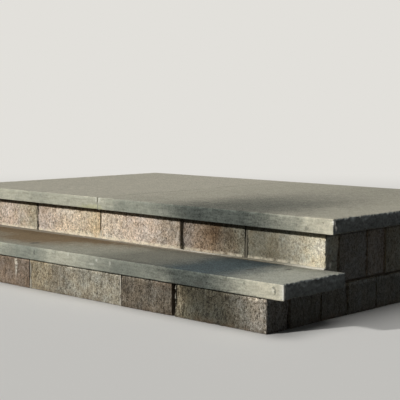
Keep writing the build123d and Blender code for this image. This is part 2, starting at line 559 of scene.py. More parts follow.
def new_material(name, roughness):
    """A material whose patterns read the place in the frame. Returns its tree, shader and place too."""
    material = bpy.data.materials.new(name)
    material.use_nodes = True
    tree = material.node_tree
    shader = tree.nodes["Principled BSDF"]
    shader.inputs["Roughness"].default_value = roughness
    shader.inputs["Specular IOR Level"].default_value = SHINE
    place = add_node(tree, "ShaderNodeTexCoord").outputs["Object"]
    return material, tree, shader, place


def bumped(tree, shader, height, distance):
    """Lifts the surface for the light alone, by up to distance."""
    feeds = {"Height": height, "Distance": distance, "Strength": 1.0}
    tree.links.new(add_node(tree, "ShaderNodeBump", feeds).outputs[0], shader.inputs["Normal"])


def mark(tree, title):
    """A number that a geometry tree left on the points."""
    return add_node(tree, "ShaderNodeAttribute", attribute_name=title).outputs["Fac"]


def facing(tree):
    """The three numbers of the way that the surface faces."""
    return parted(tree, add_node(tree, "ShaderNodeNewGeometry").outputs["Normal"])


def blemished(tree, place, colour, blemishes):
    """A colour with the blemishes laid over it. A fine wobble keeps their outlines from being round."""
    feeds = {"Vector": place, "Scale": WOBBLES_PER_METRE}
    wobble = add_node(tree, "ShaderNodeTexNoise", feeds).outputs["Color"]
    wobble = scaled(tree, vector_maths(tree, "SUBTRACT", wobble, MIDDLE_OF_COLOURS), WOBBLE)
    wobbled = vector_maths(tree, "ADD", place, wobble)
    for middle, reach, shade, strength in blemishes.values():
        away = vector_maths(tree, "DIVIDE", vector_maths(tree, "SUBTRACT", wobbled, middle), reach)
        spot = ramp_between(tree, measured(tree, "LENGTH", away), *BLEMISH_EDGE, strength, 0.0)
        colour = blended(tree, spot, colour, shade)
    return colour


# %% [markdown]
# Granite is a mass of crystals: pale feldspar, glassy grey quartz and black mica, a few millimetres each.
# A cell pattern gives each crystal its own random number, and that number picks the mineral. Weather adds
# the rest: rain draws faint upright streaks, and dirt stays in the hollows.
# The colour under it all comes from the stone, as the mark that the tree above left on its points.

# %% Patterns and tones of granite
CRYSTALS_PER_METRE = 430.0
CLUSTERS_PER_METRE = 190.0
MICA = (0.14, 0.2, 1.0, 0.0)
FELDSPAR = (0.74, 0.82)
STROKES = (230.0, 3.0, 0.75, 1.0)
STREAKS = (70.0, 5.0, 0.7, 2.0)
CLOUDS = (27.0, 5.0, 0.65, 5.0)
WARM_CLUMPS = (17.0, 4.0, 0.65, 0.38, 0.62, 6.0)
SLIGHTLY_TALL = (1.0, 1.0, 0.6)
VERY_TALL = (1.0, 1.0, 0.12)

# How much each pattern lightens the stone, or darkens it, and how much it lifts the surface
GRANITE_LIGHT = {
    "mica": -0.42, "feldspar": 0.42, "cluster": 0.7, "strokes": 2.8, "clouds": 1.0, "streaks": 1.0,
    "hollow": -0.16, "arris": 0.06,
}
GRANITE_HEIGHT = {"edges": 0.4, "strokes": 1.5, "cluster": 0.3, "clouds": 0.8}
STREAKS_BY_HEIGHT = (0.113, 0.12, 2.0, 0.8)
GRANITE_LEVEL = 1.08
GRANITE_DARKEST = 0.2

COOLER = (0.97, 1.0, 1.05)
WARMER = (1.03, 0.99, 0.95)
SMOKY = (1.06, 0.99, 0.93)
GLASSY = (0.98, 1.01, 1.08)
SMOKY_TO_CLEAR = (0.3, 1.2)
CLEAR_TO_GLASSY = (1.1, 1.7)


def granite_tint(tree, place, light):
    """Warm and cool clouds, with the dark crystals smoky and the lightest ones glassy."""
    tint = blended(tree, clumps(tree, place, *WARM_CLUMPS), COOLER, WARMER)
    depth = blended(tree, ramp_between(tree, light, *SMOKY_TO_CLEAR), SMOKY, NO_TINT)
    depth = blended(tree, ramp_between(tree, light, *CLEAR_TO_GLASSY), depth, GLASSY)
    return multiplied(tree, tint, depth)


# %% [markdown]
# A stone's tone changes with height too. Painted shade darkens it under the landing's overhang, and painted
# light brightens it just under the tread. Along the mortar at the riser's foot it is smeared with lime, and
# at the ground it is soiled. All of these follow the height, so each is a ramp over Z, with noise to break
# its edge up.

# %% Painted shade and light, lime and soil
LIME_WASH = tone(240, 228, 202)
SOIL = tone(94, 78, 60)
OVERHANG_SHADE_WANDER = 0.006
OVERHANG_SHADE_RISE = (-0.2, 0.8, -0.0035, 0.0)
SHADE_BELOW_LANDING = (0.2745, 0.2795)
OVERHANG_SHADE_DEPTH, OVERHANG_SHADE_IN_BAND = 0.6, 0.35
LIGHT_BELOW_TREAD = (0.097, 0.106)
TREAD_BASE = 0.118
TREAD_LIGHT_BY_LENGTH = (0.75, 0.95, 0.4, 0.85)
SMEAR_BY_HEIGHT = (0.18, 0.189, 1.0, 0.0)
SMEAR_FROM = 0.16
SMEAR_BY_LENGTH = (0.05, 0.4, 1.0, 0.6)
SMEAR_BY_DEPTH = (-0.408, -0.4, 1.0, 0.0)
SMEARS = (34.0, 4.0, 0.7, 0.36, 0.6, 3.0)
SMEARED = 0.85
SOIL_BY_HEIGHT = (0.0, 0.026, 1.0, 0.0)
SOILING = (26.0, 4.0, 0.7, 0.3, 0.7, 4.0)
SOILED = 0.6


def painted_shade_and_light(tree, place, colour, clouds, shadowed):
    """A stone's colour, with painted shade under the landing, and painted light just under the tread."""
    x, _, z = parted(tree, place)
    level = added(tree, z, swing(tree, clouds, OVERHANG_SHADE_WANDER), ramp_between(tree, x, *OVERHANG_SHADE_RISE))
    # Painted shade under the landing's overhang, weaker inside the painted shadow band.
    darker = times(
        tree, ramp_between(tree, level, *SHADE_BELOW_LANDING),
        blended_number(tree, shadowed, OVERHANG_SHADE_DEPTH, OVERHANG_SHADE_IN_BAND),
    )
    # Painted light just under the tread, towards its right end.
    paler = times(
        tree, ramp_between(tree, level, *LIGHT_BELOW_TREAD), maths(tree, "LESS_THAN", z, TREAD_BASE),
        ramp_between(tree, x, *TREAD_LIGHT_BY_LENGTH),
    )
    return scaled(tree, colour, added(tree, 1.0, times(tree, darker, -1.0), paler))


def smeared(tree, place, colour):
    """A stone's colour, with lime along the bead of mortar and soil at the ground."""
    x, y, z = parted(tree, place)
    lime = times(
        tree, ramp_between(tree, z, *SMEAR_BY_HEIGHT), maths(tree, "GREATER_THAN", z, SMEAR_FROM),
        ramp_between(tree, x, *SMEAR_BY_LENGTH), ramp_between(tree, y, *SMEAR_BY_DEPTH),
        clumps(tree, place, *SMEARS),
    )
    colour = blended(tree, times(tree, lime, SMEARED), colour, LIME_WASH)
    soil = times(tree, ramp_between(tree, z, *SOIL_BY_HEIGHT), clumps(tree, place, *SOILING))
    return blended(tree, times(tree, soil, SOILED), colour, SOIL)


print("sheltered from", SHADE_BELOW_LANDING[0], "m up, and soiled up to", SOIL_BY_HEIGHT[1], "m")

# %% [markdown]
# The material puts these together. The sides of the steps are tinted bluer and darker than the front, as
# they are in the photograph: this tint is painted shade.

# %% Granite
FLAKE = tone(255, 252, 240)
CRACK = tone(70, 58, 44)
SIDE_PAINTED_SHADE = (0.55, 0.61, 0.7)
SIDEWAYS = (0.5, 0.8)
GRANITE_ROUGHNESS = 0.86
GRANITE_BUMP = 0.0018
GRANITE_BLEMISHES = {
    # Painted highlights: two small sunlit flakes on the right side, painted white where the side lies in
    # shade.
    "flake highlight by the tread": ((0.962, -0.38, 0.181), (0.02, 0.008, 0.014), FLAKE, 1.0),
    "flake highlight at the corner": ((0.962, -0.408, 0.25), (0.02, 0.005, 0.02), FLAKE, 0.6),
    "broken rim by the upper wide joint": ((0.289, -0.41, 0.235), (0.006, 0.02, 0.09), CRACK, 0.6),
    "broken rim by the lower wide joint": ((0.543, -0.71, 0.06), (0.006, 0.02, 0.09), CRACK, 0.7),
    "crack beside the end stone": ((0.595, -0.41, 0.24), (0.004, 0.02, 0.045), CRACK, 0.35),
}


def granite_material():
    """Crystals, upright streaks, lime and soil over each stone's own tone, with painted light and shade."""
    material, tree, shader, place = new_material("granite_split", GRANITE_ROUGHNESS)
    squat = multiplied(tree, place, SLIGHTLY_TALL)
    edges, crystal = cells(tree, place, CRYSTALS_PER_METRE)
    _, cluster = cells(tree, squat, CLUSTERS_PER_METRE)
    strokes = noise(tree, squat, *STROKES)
    streaks = noise(tree, multiplied(tree, place, VERY_TALL), *STREAKS)
    clouds = noise(tree, place, *CLOUDS)
    light = weighed(
        tree, GRANITE_LIGHT, mica=ramp_between(tree, crystal, *MICA),
        feldspar=ramp_between(tree, crystal, *FELDSPAR), cluster=centred(tree, cluster),
        strokes=centred(tree, strokes), clouds=centred(tree, clouds),
        streaks=swing(tree, streaks, ramp_between(tree, parted(tree, place)["Z"], *STREAKS_BY_HEIGHT)),
        hollow=mark(tree, "hollow"), arris=mark(tree, "arris"),
    )
    light = added(tree, GRANITE_LEVEL, times(tree, light, mark(tree, "contrast")))
    light = maths(tree, "MAXIMUM", light, GRANITE_DARKEST)
    stone_tone = add_node(tree, "ShaderNodeAttribute", attribute_name="tone").outputs["Vector"]
    colour = multiplied(tree, scaled(tree, stone_tone, light), granite_tint(tree, place, light))

    # Painted shadow: the band of shade across the steps darkens the granite.
    shadowed = painted_shadow_band(tree, place)
    colour = with_painted_shadow(tree, colour, shadowed, BAND_SHADOW_TINT)
    # Painted shade: faces that look sideways are darkened and tinted bluer.
    sideways = ramp_between(tree, maths(tree, "ABSOLUTE", facing(tree)["X"]), *SIDEWAYS)
    colour = multiplied(tree, colour, blended(tree, sideways, NO_TINT, SIDE_PAINTED_SHADE))
    colour = painted_shade_and_light(tree, place, colour, clouds, shadowed)
    colour = blemished(tree, place, colour, GRANITE_BLEMISHES)
    tree.links.new(smeared(tree, place, colour), shader.inputs["Base Color"])
    height = weighed(
        tree, GRANITE_HEIGHT, edges=edges, strokes=strokes, cluster=cluster, clouds=clouds,
    )
    bumped(tree, shader, height, GRANITE_BUMP)
    return material


granite = granite_material()
print("material", granite.name, "with", len(granite.node_tree.nodes), "nodes")

# %% [markdown]
# Now the stones themselves. The front stones are named one by one with the tones that they show in the
# photograph, read from left to right. The stones of the side walls take their tones by lot, from the same
# quarry heap, with a fixed seed.

# %% The tones of the stones
IVORY = tone(210, 194, 170)
CREAM = tone(208, 199, 172)
STRAW = tone(200, 181, 147)
ROSE = tone(199, 182, 163)
BLUSH = tone(189, 173, 155)
BUFF = tone(192, 187, 167)
PUTTY = tone(174, 163, 138)
DOVE = tone(160, 147, 129)
TAN = tone(146, 124, 98)
MAUVE = tone(137, 124, 109)
PEARL = tone(152, 146, 128)
ASH = tone(148, 140, 125)
SAND = tone(138, 128, 105)
FLINT = tone(129, 123, 108)
UMBER = tone(125, 110, 93)
BARK = tone(104, 96, 82)
KHAKI = tone(152, 140, 114)
OLIVE = tone(88, 84, 66)
MOSS = tone(122, 119, 104)
RUST = tone(108, 84, 60)
LIME = tone(216, 209, 190)

# Partly painted shadow: the dark tones of upper_riser_stone_2, lower_riser_stone_1 and lower_riser_stone_2
# hold part of the shade that lies across them, besides their own colour.
FRONT_TONES = {
    "upper_riser_stone_1": (BUFF, BUFF, CREAM),
    "upper_riser_stone_2": (MAUVE, TAN, BUFF),
    "upper_riser_stone_3": (IVORY, ROSE, DOVE),
    "upper_riser_stone_4": (BLUSH, IVORY, STRAW),
    "upper_riser_stone_5": (DOVE, ROSE, PUTTY),
    "lower_riser_stone_1": (OLIVE, MOSS, ASH),
    "lower_riser_stone_2": (BARK, BARK, BARK),
    "lower_riser_stone_3": (KHAKI, PEARL, PEARL),
    "lower_riser_stone_4": (MAUVE, UMBER, UMBER),
    "lower_riser_stone_5": (FLINT, UMBER, MAUVE),
}
CONTRASTS = {
    "upper_riser_stone_1": 0.68,
    "upper_riser_stone_2": 1.15,
    "lower_riser_stone_1": 1.3,
    "lower_riser_stone_2": 1.35,
}
SIDE_TONES = (SAND, ASH, DOVE, FLINT, PUTTY, PEARL)
TONE_PLAY = 0.14

# What stains which stone, how far along it, how far up it, how wide and how high, and how deep
STAINS = {
    # Painted light, not a stain: a pale patch high on the right end of upper_riser_stone_1.
    "upper_riser_stone_1": (LIME, 0.93, 0.7, 0.05, 0.04, 0.6),
    "upper_riser_stone_2": (RUST, 0.56, 0.74, 0.11, 0.045, 0.5),
    "upper_riser_stone_3": (LIME, 0.12, 0.35, 0.05, 0.035, 0.5),
    "upper_riser_stone_4": (CREAM, 0.72, 0.4, 0.12, 0.014, 0.7),
    "lower_riser_stone_1": (SAND, 0.03, 0.55, 0.055, 0.1, 0.9),
    "lower_riser_stone_2": (RUST, 0.82, 0.95, 0.07, 0.035, 0.3),
    "lower_riser_stone_3": (BARK, 0.33, 0.5, 0.08, 0.12, 0.45),
    "lower_riser_stone_4": (LIME, 0.76, 0.8, 0.01, 0.06, 0.75),
}
NO_STAIN = (LIME, 0.5, 0.5, 0.05, 0.05, 0.0)
print(len(FRONT_TONES), "front stones have tones, and", len(STAINS), "of them a stain")

# %% [markdown]
# A stone at a corner shows two sides. The others show one, and their grid widens towards the wall's
# inside, where nothing is seen.

# %% The granite stones
OUTWARD = {"-x": (-1, 0, 0), "+x": (1, 0, 0), "-y": (0, -1, 0)}
CORNERS = {"+x": 1.0, "-x": -1.0}
HIDDEN_SWELL = 0.3
LONGEST_SEED = 90.0
STONE_LOT = 8


def stain_box(node, low, half, length):
    """Where a stone's stain is, how far it reaches, its tone and how deep it is."""
    stain, part_along, part_up, wide, high_up, stain_depth = STAINS.get(node, NO_STAIN)
    stain_at = Vector(low)
    stain_at[length] += part_along * 2 * half[length]
    stain_at.z += part_up * 2 * half.z
    reach = Vector((wide, wide, high_up))
    reach[1 - length] = 2 * half[1 - length]
    return stain_at, reach, stain, stain_depth


def granite_stone(node, showing, hidden, tones, grid, seed):
    """Carves one stone. showing lists its showing sides, the main one first."""
    low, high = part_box(node)
    centre, half = middle_and_half(low, high)
    places = []
    for axis, word in enumerate("xyz"):
        if len(showing) == 1 and word in showing[0]:
            start, end = (low, high) if showing[0][0] == "-" else (high, low)
            places.append(fading_places(start[axis], end[axis], grid))
        else:
            places.append(even_places(low[axis], high[axis], grid))
    piece = blank(node + "_split", places, {hidden: 0})
    swell = [1.0 if any(word in side for side in showing) else HIDDEN_SWELL for word in "xyz"]
    length = 1 if "x" in showing[0] else 0
    along = Vector((0, 1, 0)) if length else Vector((1, 0, 0))
    stain_at, reach, stain, stain_depth = stain_box(node, low, half, length)
    left, middle, right = tones
    corner = CORNERS[showing[-1]] if len(showing) > 1 else 0.0
    carve(
        piece, split_granite, Centre=centre, Half=half, Showing=swell, Along=along, Corner=corner,
        Seed=seed, Left=left, Middle=middle, Right=right, Stain=stain, StainAt=stain_at,
        StainReach=reach, StainDepth=stain_depth, Contrast=CONTRASTS.get(node, 1.0), Material=granite,
    )
    stand_for(piece, node)
    return piece


def stones_of(course):
    """The nodes of a course, in order."""
    return sorted(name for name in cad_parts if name.startswith(course))


def played(colour):
    """The colour a little lighter or darker, by lot."""
    factor = 1 + TONE_PLAY * lot.uniform(-1.0, 1.0)
    return tuple(factor * part for part in colour)


lot = Random(STONE_LOT)
stones = []
for course in ("lower_riser_stone_", "upper_riser_stone_"):
    names = stones_of(course)
    for node in names:
        showing = ["-y"]
        if node == names[0]:
            showing.append("+x")
        if node == names[-1]:
            showing.append("-x")
        seed = lot.uniform(0.0, LONGEST_SEED)
        stones.append(granite_stone(node, showing, "+y", FRONT_TONES[node], FRONT_GRID, seed))
for side, face, back in (("right", "+x", "-x"), ("left", "-x", "+x")):
    for course in (f"{side}_lower_stone_", f"{side}_upper_stone_"):
        for node in stones_of(course):
            main_tone = lot.choice(SIDE_TONES)
            tones = [played(main_tone) for _ in range(3)]
            seed = lot.uniform(0.0, LONGEST_SEED)
            stones.append(granite_stone(node, [face], back, tones, SIDE_GRID, seed))
print(len(stones), "granite stones")

# %% [markdown]
# Bluestone slabs. The quarry saws them, so the faces are flat and the arrises only a little eased. The
# ends are pitched: a wide chisel knocks the arris off all round, which leaves a row of shallow bowls with
# a ragged outline above and below. Each bowl is one cell of a Voronoi pattern, deepest in its middle.

# %% The tree for bluestone slabs
SLAB_CHIPS = (46.0, 3.0, 0.65, 0.62, 0.8)
UNDERSIDE = (-0.02, 0.0)
CLEAN_CORNER = 0.12
BOWLS_PER_METRE = 27.0
BOWL = (0.0, 0.75, 1.0, 0.0)
LEAST_BOWL = 0.3
BOWL_HEIGHT = 1.3
FLAKES_PER_METRE = 70.0
TOOTHING = (95.0, 5.0, 0.75)
TEETH = (90.0, 4.0, 0.75, 0.45, 0.56)
TEETH_BACK = (0.001, 0.012, 1.0, 0.0)
LIFTED_FRONT = (0.0, 0.06, 1.0, 0.0)
LIFTED_LEFT = (-0.2, 0.8, 1.0, 0.0)
BROKEN_RIM = (0.0, 0.003, 1.0, 0.0)
BROKEN_TEETH = (0.05, 0.25)
SLAB_ARRIS_BAND = 0.006

# How deep each pattern goes into a pitched end, and how far the patterns of the right end are moved, so
# that the two ends differ
PITCH_DEPTH = {"bowls": 0.42, "flakes": 0.22, "tooth": 0.42, "rim": 0.08}
BOWL_SHIFT = 3.7
FLAKE_SHIFT = 1.9
TEETH_SHIFT = 2.3
UNDER_SHIFT = 0.7


def pitch_depth(tree, on_right, y, z, level, seed):
    """How deep a point of a pitched end lies, and the fine tooth on it."""
    on_end = joined(tree, times(tree, on_right, BOWL_SHIFT), y, times(tree, z, BOWL_HEIGHT))
    from_bowl, lot_of_bowl = cells(tree, on_end, BOWLS_PER_METRE)
    bowls = times(tree, ramp_between(tree, from_bowl, *BOWL), added(tree, lot_of_bowl, LEAST_BOWL))
    flakes, _ = cells(tree, joined(tree, y, z, times(tree, on_right, FLAKE_SHIFT)), FLAKES_PER_METRE)
    tooth = noise(tree, on_end, *TOOTHING, seed)
    rim = times(tree, level, level)
    return weighed(tree, PITCH_DEPTH, bowls=bowls, flakes=flakes, tooth=tooth, rim=rim), tooth


def slab_tree():
    """Eases the arrises, knocks small chips out of them, and pitches the ends that are asked for."""
    tree, size = carving_tree(
        "bluestone_slab", Centre=(0.0, 0.0, 0.0), Half=(0.1, 0.1, 0.1), Left=0.0, Right=0.0,
        Arris=0.0014, Under=0.0032, Chip=0.006, Pitch=0.017, Band=0.05, Corner=0.03, Tooth=0.0075,
        Lift=0.0, Seed=0.0, Material="bluestone",
    )
    place = place_of_point(tree)
    local = vector_maths(tree, "SUBTRACT", place, size["Centre"])
    x, y, z = parted(tree, local)
    half_x, half_y, half_z = parted(tree, size["Half"])

    under = ramp_between(tree, z, *UNDERSIDE, size["Under"], 0.0)
    chips = times(tree, clumps(tree, place, *SLAB_CHIPS, size["Seed"]), size["Chip"])
    rounded, _ = rounded_place(tree, local, size["Half"], added(tree, size["Arris"], chips, under))

    on_right = maths(tree, "GREATER_THAN", x, 0.0)
    on_left = less(tree, 1.0, on_right)
    pitched = added(tree, times(tree, on_right, size["Right"]), times(tree, on_left, size["Left"]))
    from_end = less(tree, half_x, maths(tree, "ABSOLUTE", x))
    fade = less(tree, 1.0, maths(tree, "DIVIDE", from_end, size["Band"]), clamped=True)
    from_front = added(tree, y, half_y)
    behind_front = ramp_between(tree, from_front, 0.0, size["Corner"], CLEAN_CORNER, 1.0)
    level = maths(tree, "DIVIDE", z, half_z)
    depth, tooth = pitch_depth(tree, on_right, y, z, level, size["Seed"])
    push = times(tree, depth, size["Pitch"], fade, pitched, behind_front, maths(tree, "SIGN", x), -1.0)

    above = times(tree, maths(tree, "SIGN", z), UNDER_SHIFT)
    along_arris = joined(tree, times(tree, on_right, TEETH_SHIFT), y, above)
    teeth = clumps(tree, along_arris, *TEETH, size["Seed"])
    teeth = times(tree, teeth, pitched, behind_front, ramp_between(tree, from_end, *TEETH_BACK))
    drop = times(tree, teeth, size["Tooth"], level, -1.0)
    lift = times(
        tree, maths(tree, "MINIMUM", level, 0.0), -1.0, ramp_between(tree, from_front, *LIFTED_FRONT),
        ramp_between(tree, parted(tree, place)["X"], *LIFTED_LEFT), size["Lift"],
    )
    carved = vector_maths(tree, "ADD", rounded, joined(tree, push, 0.0, added(tree, drop, lift)))
    carved = vector_maths(tree, "ADD", size["Centre"], carved)

    rim = times(tree, pitched, ramp_between(tree, from_end, *BROKEN_RIM))
    numbers = {
        "arris": arris_nearness(tree, local, size["Half"], SLAB_ARRIS_BAND),
        "broken": maths(tree, "MAXIMUM", rim, ramp_between(tree, teeth, *BROKEN_TEETH)),
        "tooth": tooth,
    }
    finish_carving(tree, size["Mesh"], carved, numbers, {}, size["Material"])
    return tree


bluestone_slab = slab_tree()

# %% [markdown]
# Bluestone is a fine, even sandstone. Its tone drifts over an arm's length between warm grey and a cooler
# blue green, and walked tops turn browner than the edges. Some places are dusty or chalky, the right ends get
# painted light, and each of those is a patch with its own middle, reach, seed, fray and strength.

# %% The greys of the slabs
WARM_GREY = tone(172, 170, 152)
BLUE_GREY = tone(128, 131, 119)
LANDING_GREY = tone(162, 157, 141)
LANDING_PALE = tone(174, 168, 152)
TREAD_GREY = tone(142, 140, 126)
WORN_GREY = tone(196, 194, 178)
SUNLIT_END_GREY = tone(206, 198, 174)
SUNLIT_TOP_GREY = tone(166, 166, 153)
DUST = tone(108, 88, 60)
LICHEN = tone(166, 164, 118)
PALE_TO_GREY = (-0.2, 0.12)
WALKED = 0.8
DRIFT = (5.0, 4.0, 0.6, 0.42, 0.68, 12.0)
DRIFTED = 0.4
ZONED = 0.75
COOLER_ZONES = {
    "landing's middle": ((0.22, -0.48, 0.32), (0.34, 0.3, 0.14), 5.0, 0.7),
    "tread's middle": ((0.38, -0.74, 0.15), (0.3, 0.4, 0.14), 6.0, 0.7),
    "tread's left": ((-0.24, -0.74, 0.15), (0.24, 0.12, 0.14), 7.0, 0.7),
}

# The tone that is laid over the grey, how strongly, whether on the top alone, and the patches of it
SLAB_PATCHES = {
    "dust": (DUST, 0.9, True, (
        ((-0.45, -0.41, 0.17), (0.85, 0.17, 0.02), 7.0, 1.1, 1.0),
        ((-0.55, -0.5, 0.17), (0.75, 0.3, 0.02), 8.0, 1.1, 0.6),
        ((-0.36, -0.58, 0.17), (0.26, 0.16, 0.02), 9.0, 0.8, 0.5),
    )),
    "lichen": (LICHEN, 0.5, False, (((-0.14, -0.48, 0.304), (0.09, 0.03, 0.022), 8.0, 1.4, 1.0),)),
    "chalk": (WORN_GREY, 0.3, False, (((0.27, -0.48, 0.314), (0.05, 0.02, 0.016), 9.0, 2.2, 1.0),)),
    # Painted light: the right ends of the slab edges are lightened.
    "painted light on the right ends": (SUNLIT_END_GREY, 1.0, False, (
        ((1.04, -0.74, 0.15), (0.2, 0.06, 0.1), 11.0, 0.7, 0.5),
        ((1.04, -0.48, 0.32), (0.2, 0.06, 0.1), 11.0, 0.7, 0.5),
    )),
    # Painted light: the right end of the tread's top is lightened.
    "painted light on the tread's right end": (SUNLIT_TOP_GREY, 0.9, True, (((1.04, -0.6, 0.17), (0.34, 0.4, 0.02), 12.0, 0.6, 1.0),)),
}


def slab_grey(tree, place, upward, on_tread):
    """The drifting grey of the slabs, with the patches on it."""
    cooler = times(tree, clumps(tree, place, *DRIFT), DRIFTED)
    zones = 0.0
    for zone in COOLER_ZONES.values():
        zones = maths(tree, "MAXIMUM", zones, patch(tree, place, *zone))
    cooler = maths(tree, "MINIMUM", added(tree, cooler, times(tree, zones, ZONED)), 1.0)
    colour = blended(tree, cooler, WARM_GREY, BLUE_GREY)
    to_grey = ramp_between(tree, parted(tree, place)["X"], *PALE_TO_GREY)
    walked = blended(tree, on_tread, blended(tree, to_grey, LANDING_PALE, LANDING_GREY), TREAD_GREY)
    colour = blended(tree, times(tree, upward, WALKED), colour, walked)
    for shade, strength, on_top, rows in SLAB_PATCHES.values():
        share = maths(tree, "MINIMUM", patches(tree, place, rows), 1.0)
        if on_top:
            share = times(tree, share, upward)
        colour = blended(tree, times(tree, share, strength), colour, shade)
    return colour


# %% [markdown]
# The painted shadow band darkens the slabs most on their edges, and two more patches of painted shadow lie
# on the tread, along its front. Just below the top arris the edge gets a painted highlight, and the underside
# is painted darker as shade.

# %% Painted light and shade on the slabs
SHADOW_ON_EDGE = (0.172, 0.197, 0.212)
SHADOW_ON_LANDING_TOP = (0.285, 0.305, 0.305)
SHADOW_ON_TREAD_TOP = (0.165, 0.23, 0.305)
FURTHER_LEFT = (0.012, 0.0, 0.0)
EDGE_WIDENED, TOP_WIDENED = 0.12, 0.035
SHADOW_PATCHES_TOP = (((0.34, -0.6, 0.17), (0.28, 0.34, 0.02), 10.0, 0.7, 0.36),)
SHADOW_PATCHES_EDGE = (((0.36, -0.74, 0.14), (0.26, 0.05, 0.08), 13.0, 0.7, 0.22),)
TREAD_TOP = 0.17
LANDING_TOP = 0.348
RIM_HIGHLIGHT_BAND = (0.0, 0.015, 1.0, 0.0)
RIM_HIGHLIGHT_OUTSIDE_BAND, RIM_HIGHLIGHT_IN_BAND = 0.14, 0.36
RIM_HIGHLIGHT_TO_END = (0.9, 1.0, 1.0, 0.0)
UNDERSIDE_SHADE = (-0.9, -0.6, 0.5, 0.0)


def slab_shadow_band(tree, place, upward, on_landing):
    """How deep a point of a slab lies in the painted shadow band. The landing's band is wider than the
    tread's.
    """
    widened = times(tree, on_landing, blended_number(tree, upward, EDGE_WIDENED, TOP_WIDENED))
    return painted_shadow_band(tree, vector_maths(tree, "ADD", place, FURTHER_LEFT), widened)


def slab_shaded(tree, place, colour, shadowed, upward, on_tread):
    """A slab's colour, darkened by painted shadow and shade, and lightened by a painted highlight below the
    top arris.
    """
    x, _, z = parted(tree, place)
    # The painted shadow band, with its shade for the edges and for each top.
    shade = blended(tree, upward, SHADOW_ON_EDGE, blended(tree, on_tread, SHADOW_ON_LANDING_TOP, SHADOW_ON_TREAD_TOP))
    colour = with_painted_shadow(tree, colour, shadowed, shade)
    below_top = less(tree, blended_number(tree, on_tread, LANDING_TOP, TREAD_TOP), z)
    # Painted highlight: a pale band just below the top arris of the slab's edges, stronger in the shadow
    # band.
    rim_highlight = times(
        tree, ramp_between(tree, below_top, *RIM_HIGHLIGHT_BAND), less(tree, 1.0, upward),
        blended_number(tree, shadowed, RIM_HIGHLIGHT_OUTSIDE_BAND, RIM_HIGHLIGHT_IN_BAND), ramp_between(tree, x, *RIM_HIGHLIGHT_TO_END),
    )
    colour = scaled(tree, colour, added(tree, 1.0, rim_highlight))
    # Painted shadow: two soft patches beside the band, on the tread's top and on its front.
    shadow_patches = times(tree, patches(tree, place, SHADOW_PATCHES_TOP), upward)
    shadow_patches = added(tree, shadow_patches, patches(tree, place, SHADOW_PATCHES_EDGE))
    # Painted shade: faces that look down are darkened.
    underside_shade = ramp_between(tree, facing(tree)["Z"], *UNDERSIDE_SHADE)
    return scaled(tree, colour, less(tree, 1.0, added(tree, shadow_patches, underside_shade)))


print("the landing's edge is damp", EDGE_WIDENED, "m further out than the tread's")

# %% [markdown]
# Close up there is a fine grain, a few scratches that run along the slab, small dark pits, and a pale line
# where the arris has worn. The grain and the pits are noise and cells. What is seen in one place only is a
# blemish.

# %% Marks on the slabs
PIT_GREY = tone(66, 66, 60)
FLECK = tone(226, 224, 212)
SMUDGE = tone(104, 104, 92)
SLAB_BLEMISHES = {
    # Painted highlights: sunlit flakes on the landing's pitched right end.
    "flake highlight at the landing's arris": ((1.04, -0.471, 0.337), (0.02, 0.009, 0.012), FLAKE, 1.0),
    "flake highlight behind it": ((1.04, -0.458, 0.322), (0.02, 0.009, 0.014), FLAKE, 1.0),
    "pit on the landing": ((0.355, -0.347, 0.348), (0.011, 0.03, 0.01), PIT_GREY, 0.7),
    "pit on the tread": ((0.774, -0.573, 0.17), (0.011, 0.03, 0.01), PIT_GREY, 0.7),
    "pit by the riser": ((0.866, -0.487, 0.17), (0.012, 0.02, 0.01), PIT_GREY, 0.8),
    "long pit at the left": ((-0.26, -0.663, 0.17), (0.022, 0.03, 0.01), PIT_GREY, 0.7),
    "hook": ((-0.165, -0.74, 0.151), (0.005, 0.02, 0.013), PIT_GREY, 0.6),
    "tick": ((-0.039, -0.74, 0.16), (0.004, 0.02, 0.01), SMUDGE, 0.5),
    "second tick": ((0.036, -0.74, 0.162), (0.003, 0.02, 0.009), FLECK, 0.5),
    "lime fleck": ((0.194, -0.74, 0.158), (0.006, 0.02, 0.006), FLECK, 0.5),
    "long lime fleck": ((0.168, -0.74, 0.14), (0.016, 0.02, 0.005), FLECK, 0.25),
    "right lime fleck": ((0.264, -0.74, 0.153), (0.005, 0.02, 0.01), FLECK, 0.25),
    "crescent": ((1.015, -0.74, 0.146), (0.004, 0.02, 0.011), SMUDGE, 0.8),
    "crescent's head": ((1.01, -0.74, 0.157), (0.008, 0.02, 0.004), SMUDGE, 0.7),
    "beside the crescent": ((1.007, -0.74, 0.149), (0.005, 0.02, 0.009), FLECK, 0.4),
    "speck": ((0.892, -0.74, 0.157), (0.007, 0.02, 0.006), SMUDGE, 0.6),
    "second speck": ((0.813, -0.74, 0.161), (0.008, 0.02, 0.005), SMUDGE, 0.7),
    "smudge": ((0.702, -0.74, 0.132), (0.04, 0.02, 0.01), PIT_GREY, 0.4),
    # Painted highlight: a pale glint down the tread's right front corner.
    "corner glint": ((1.049, -0.74, 0.145), (0.006, 0.01, 0.032), FLECK, 0.8),
    "wider corner glint": ((1.048, -0.74, 0.15), (0.018, 0.01, 0.04), FLECK, 0.35),
    "scratch": ((-0.277, -0.478, 0.324), (0.014, 0.02, 0.005), SMUDGE, 0.35),
    "low speck": ((0.05, -0.478, 0.31), (0.01, 0.02, 0.006), SMUDGE, 0.6),
    "speck at the middle": ((0.128, -0.478, 0.329), (0.008, 0.02, 0.006), SMUDGE, 0.5),
    "speck at the right": ((0.932, -0.478, 0.311), (0.01, 0.02, 0.006), SMUDGE, 0.6),
    "rub right of the joint": ((-0.092, -0.478, 0.338), (0.012, 0.02, 0.012), FLECK, 0.4),
    "rub left of the joint": ((-0.109, -0.478, 0.337), (0.005, 0.02, 0.012), FLECK, 0.4),
}
print(len(SLAB_BLEMISHES), "blemishes on the slabs")

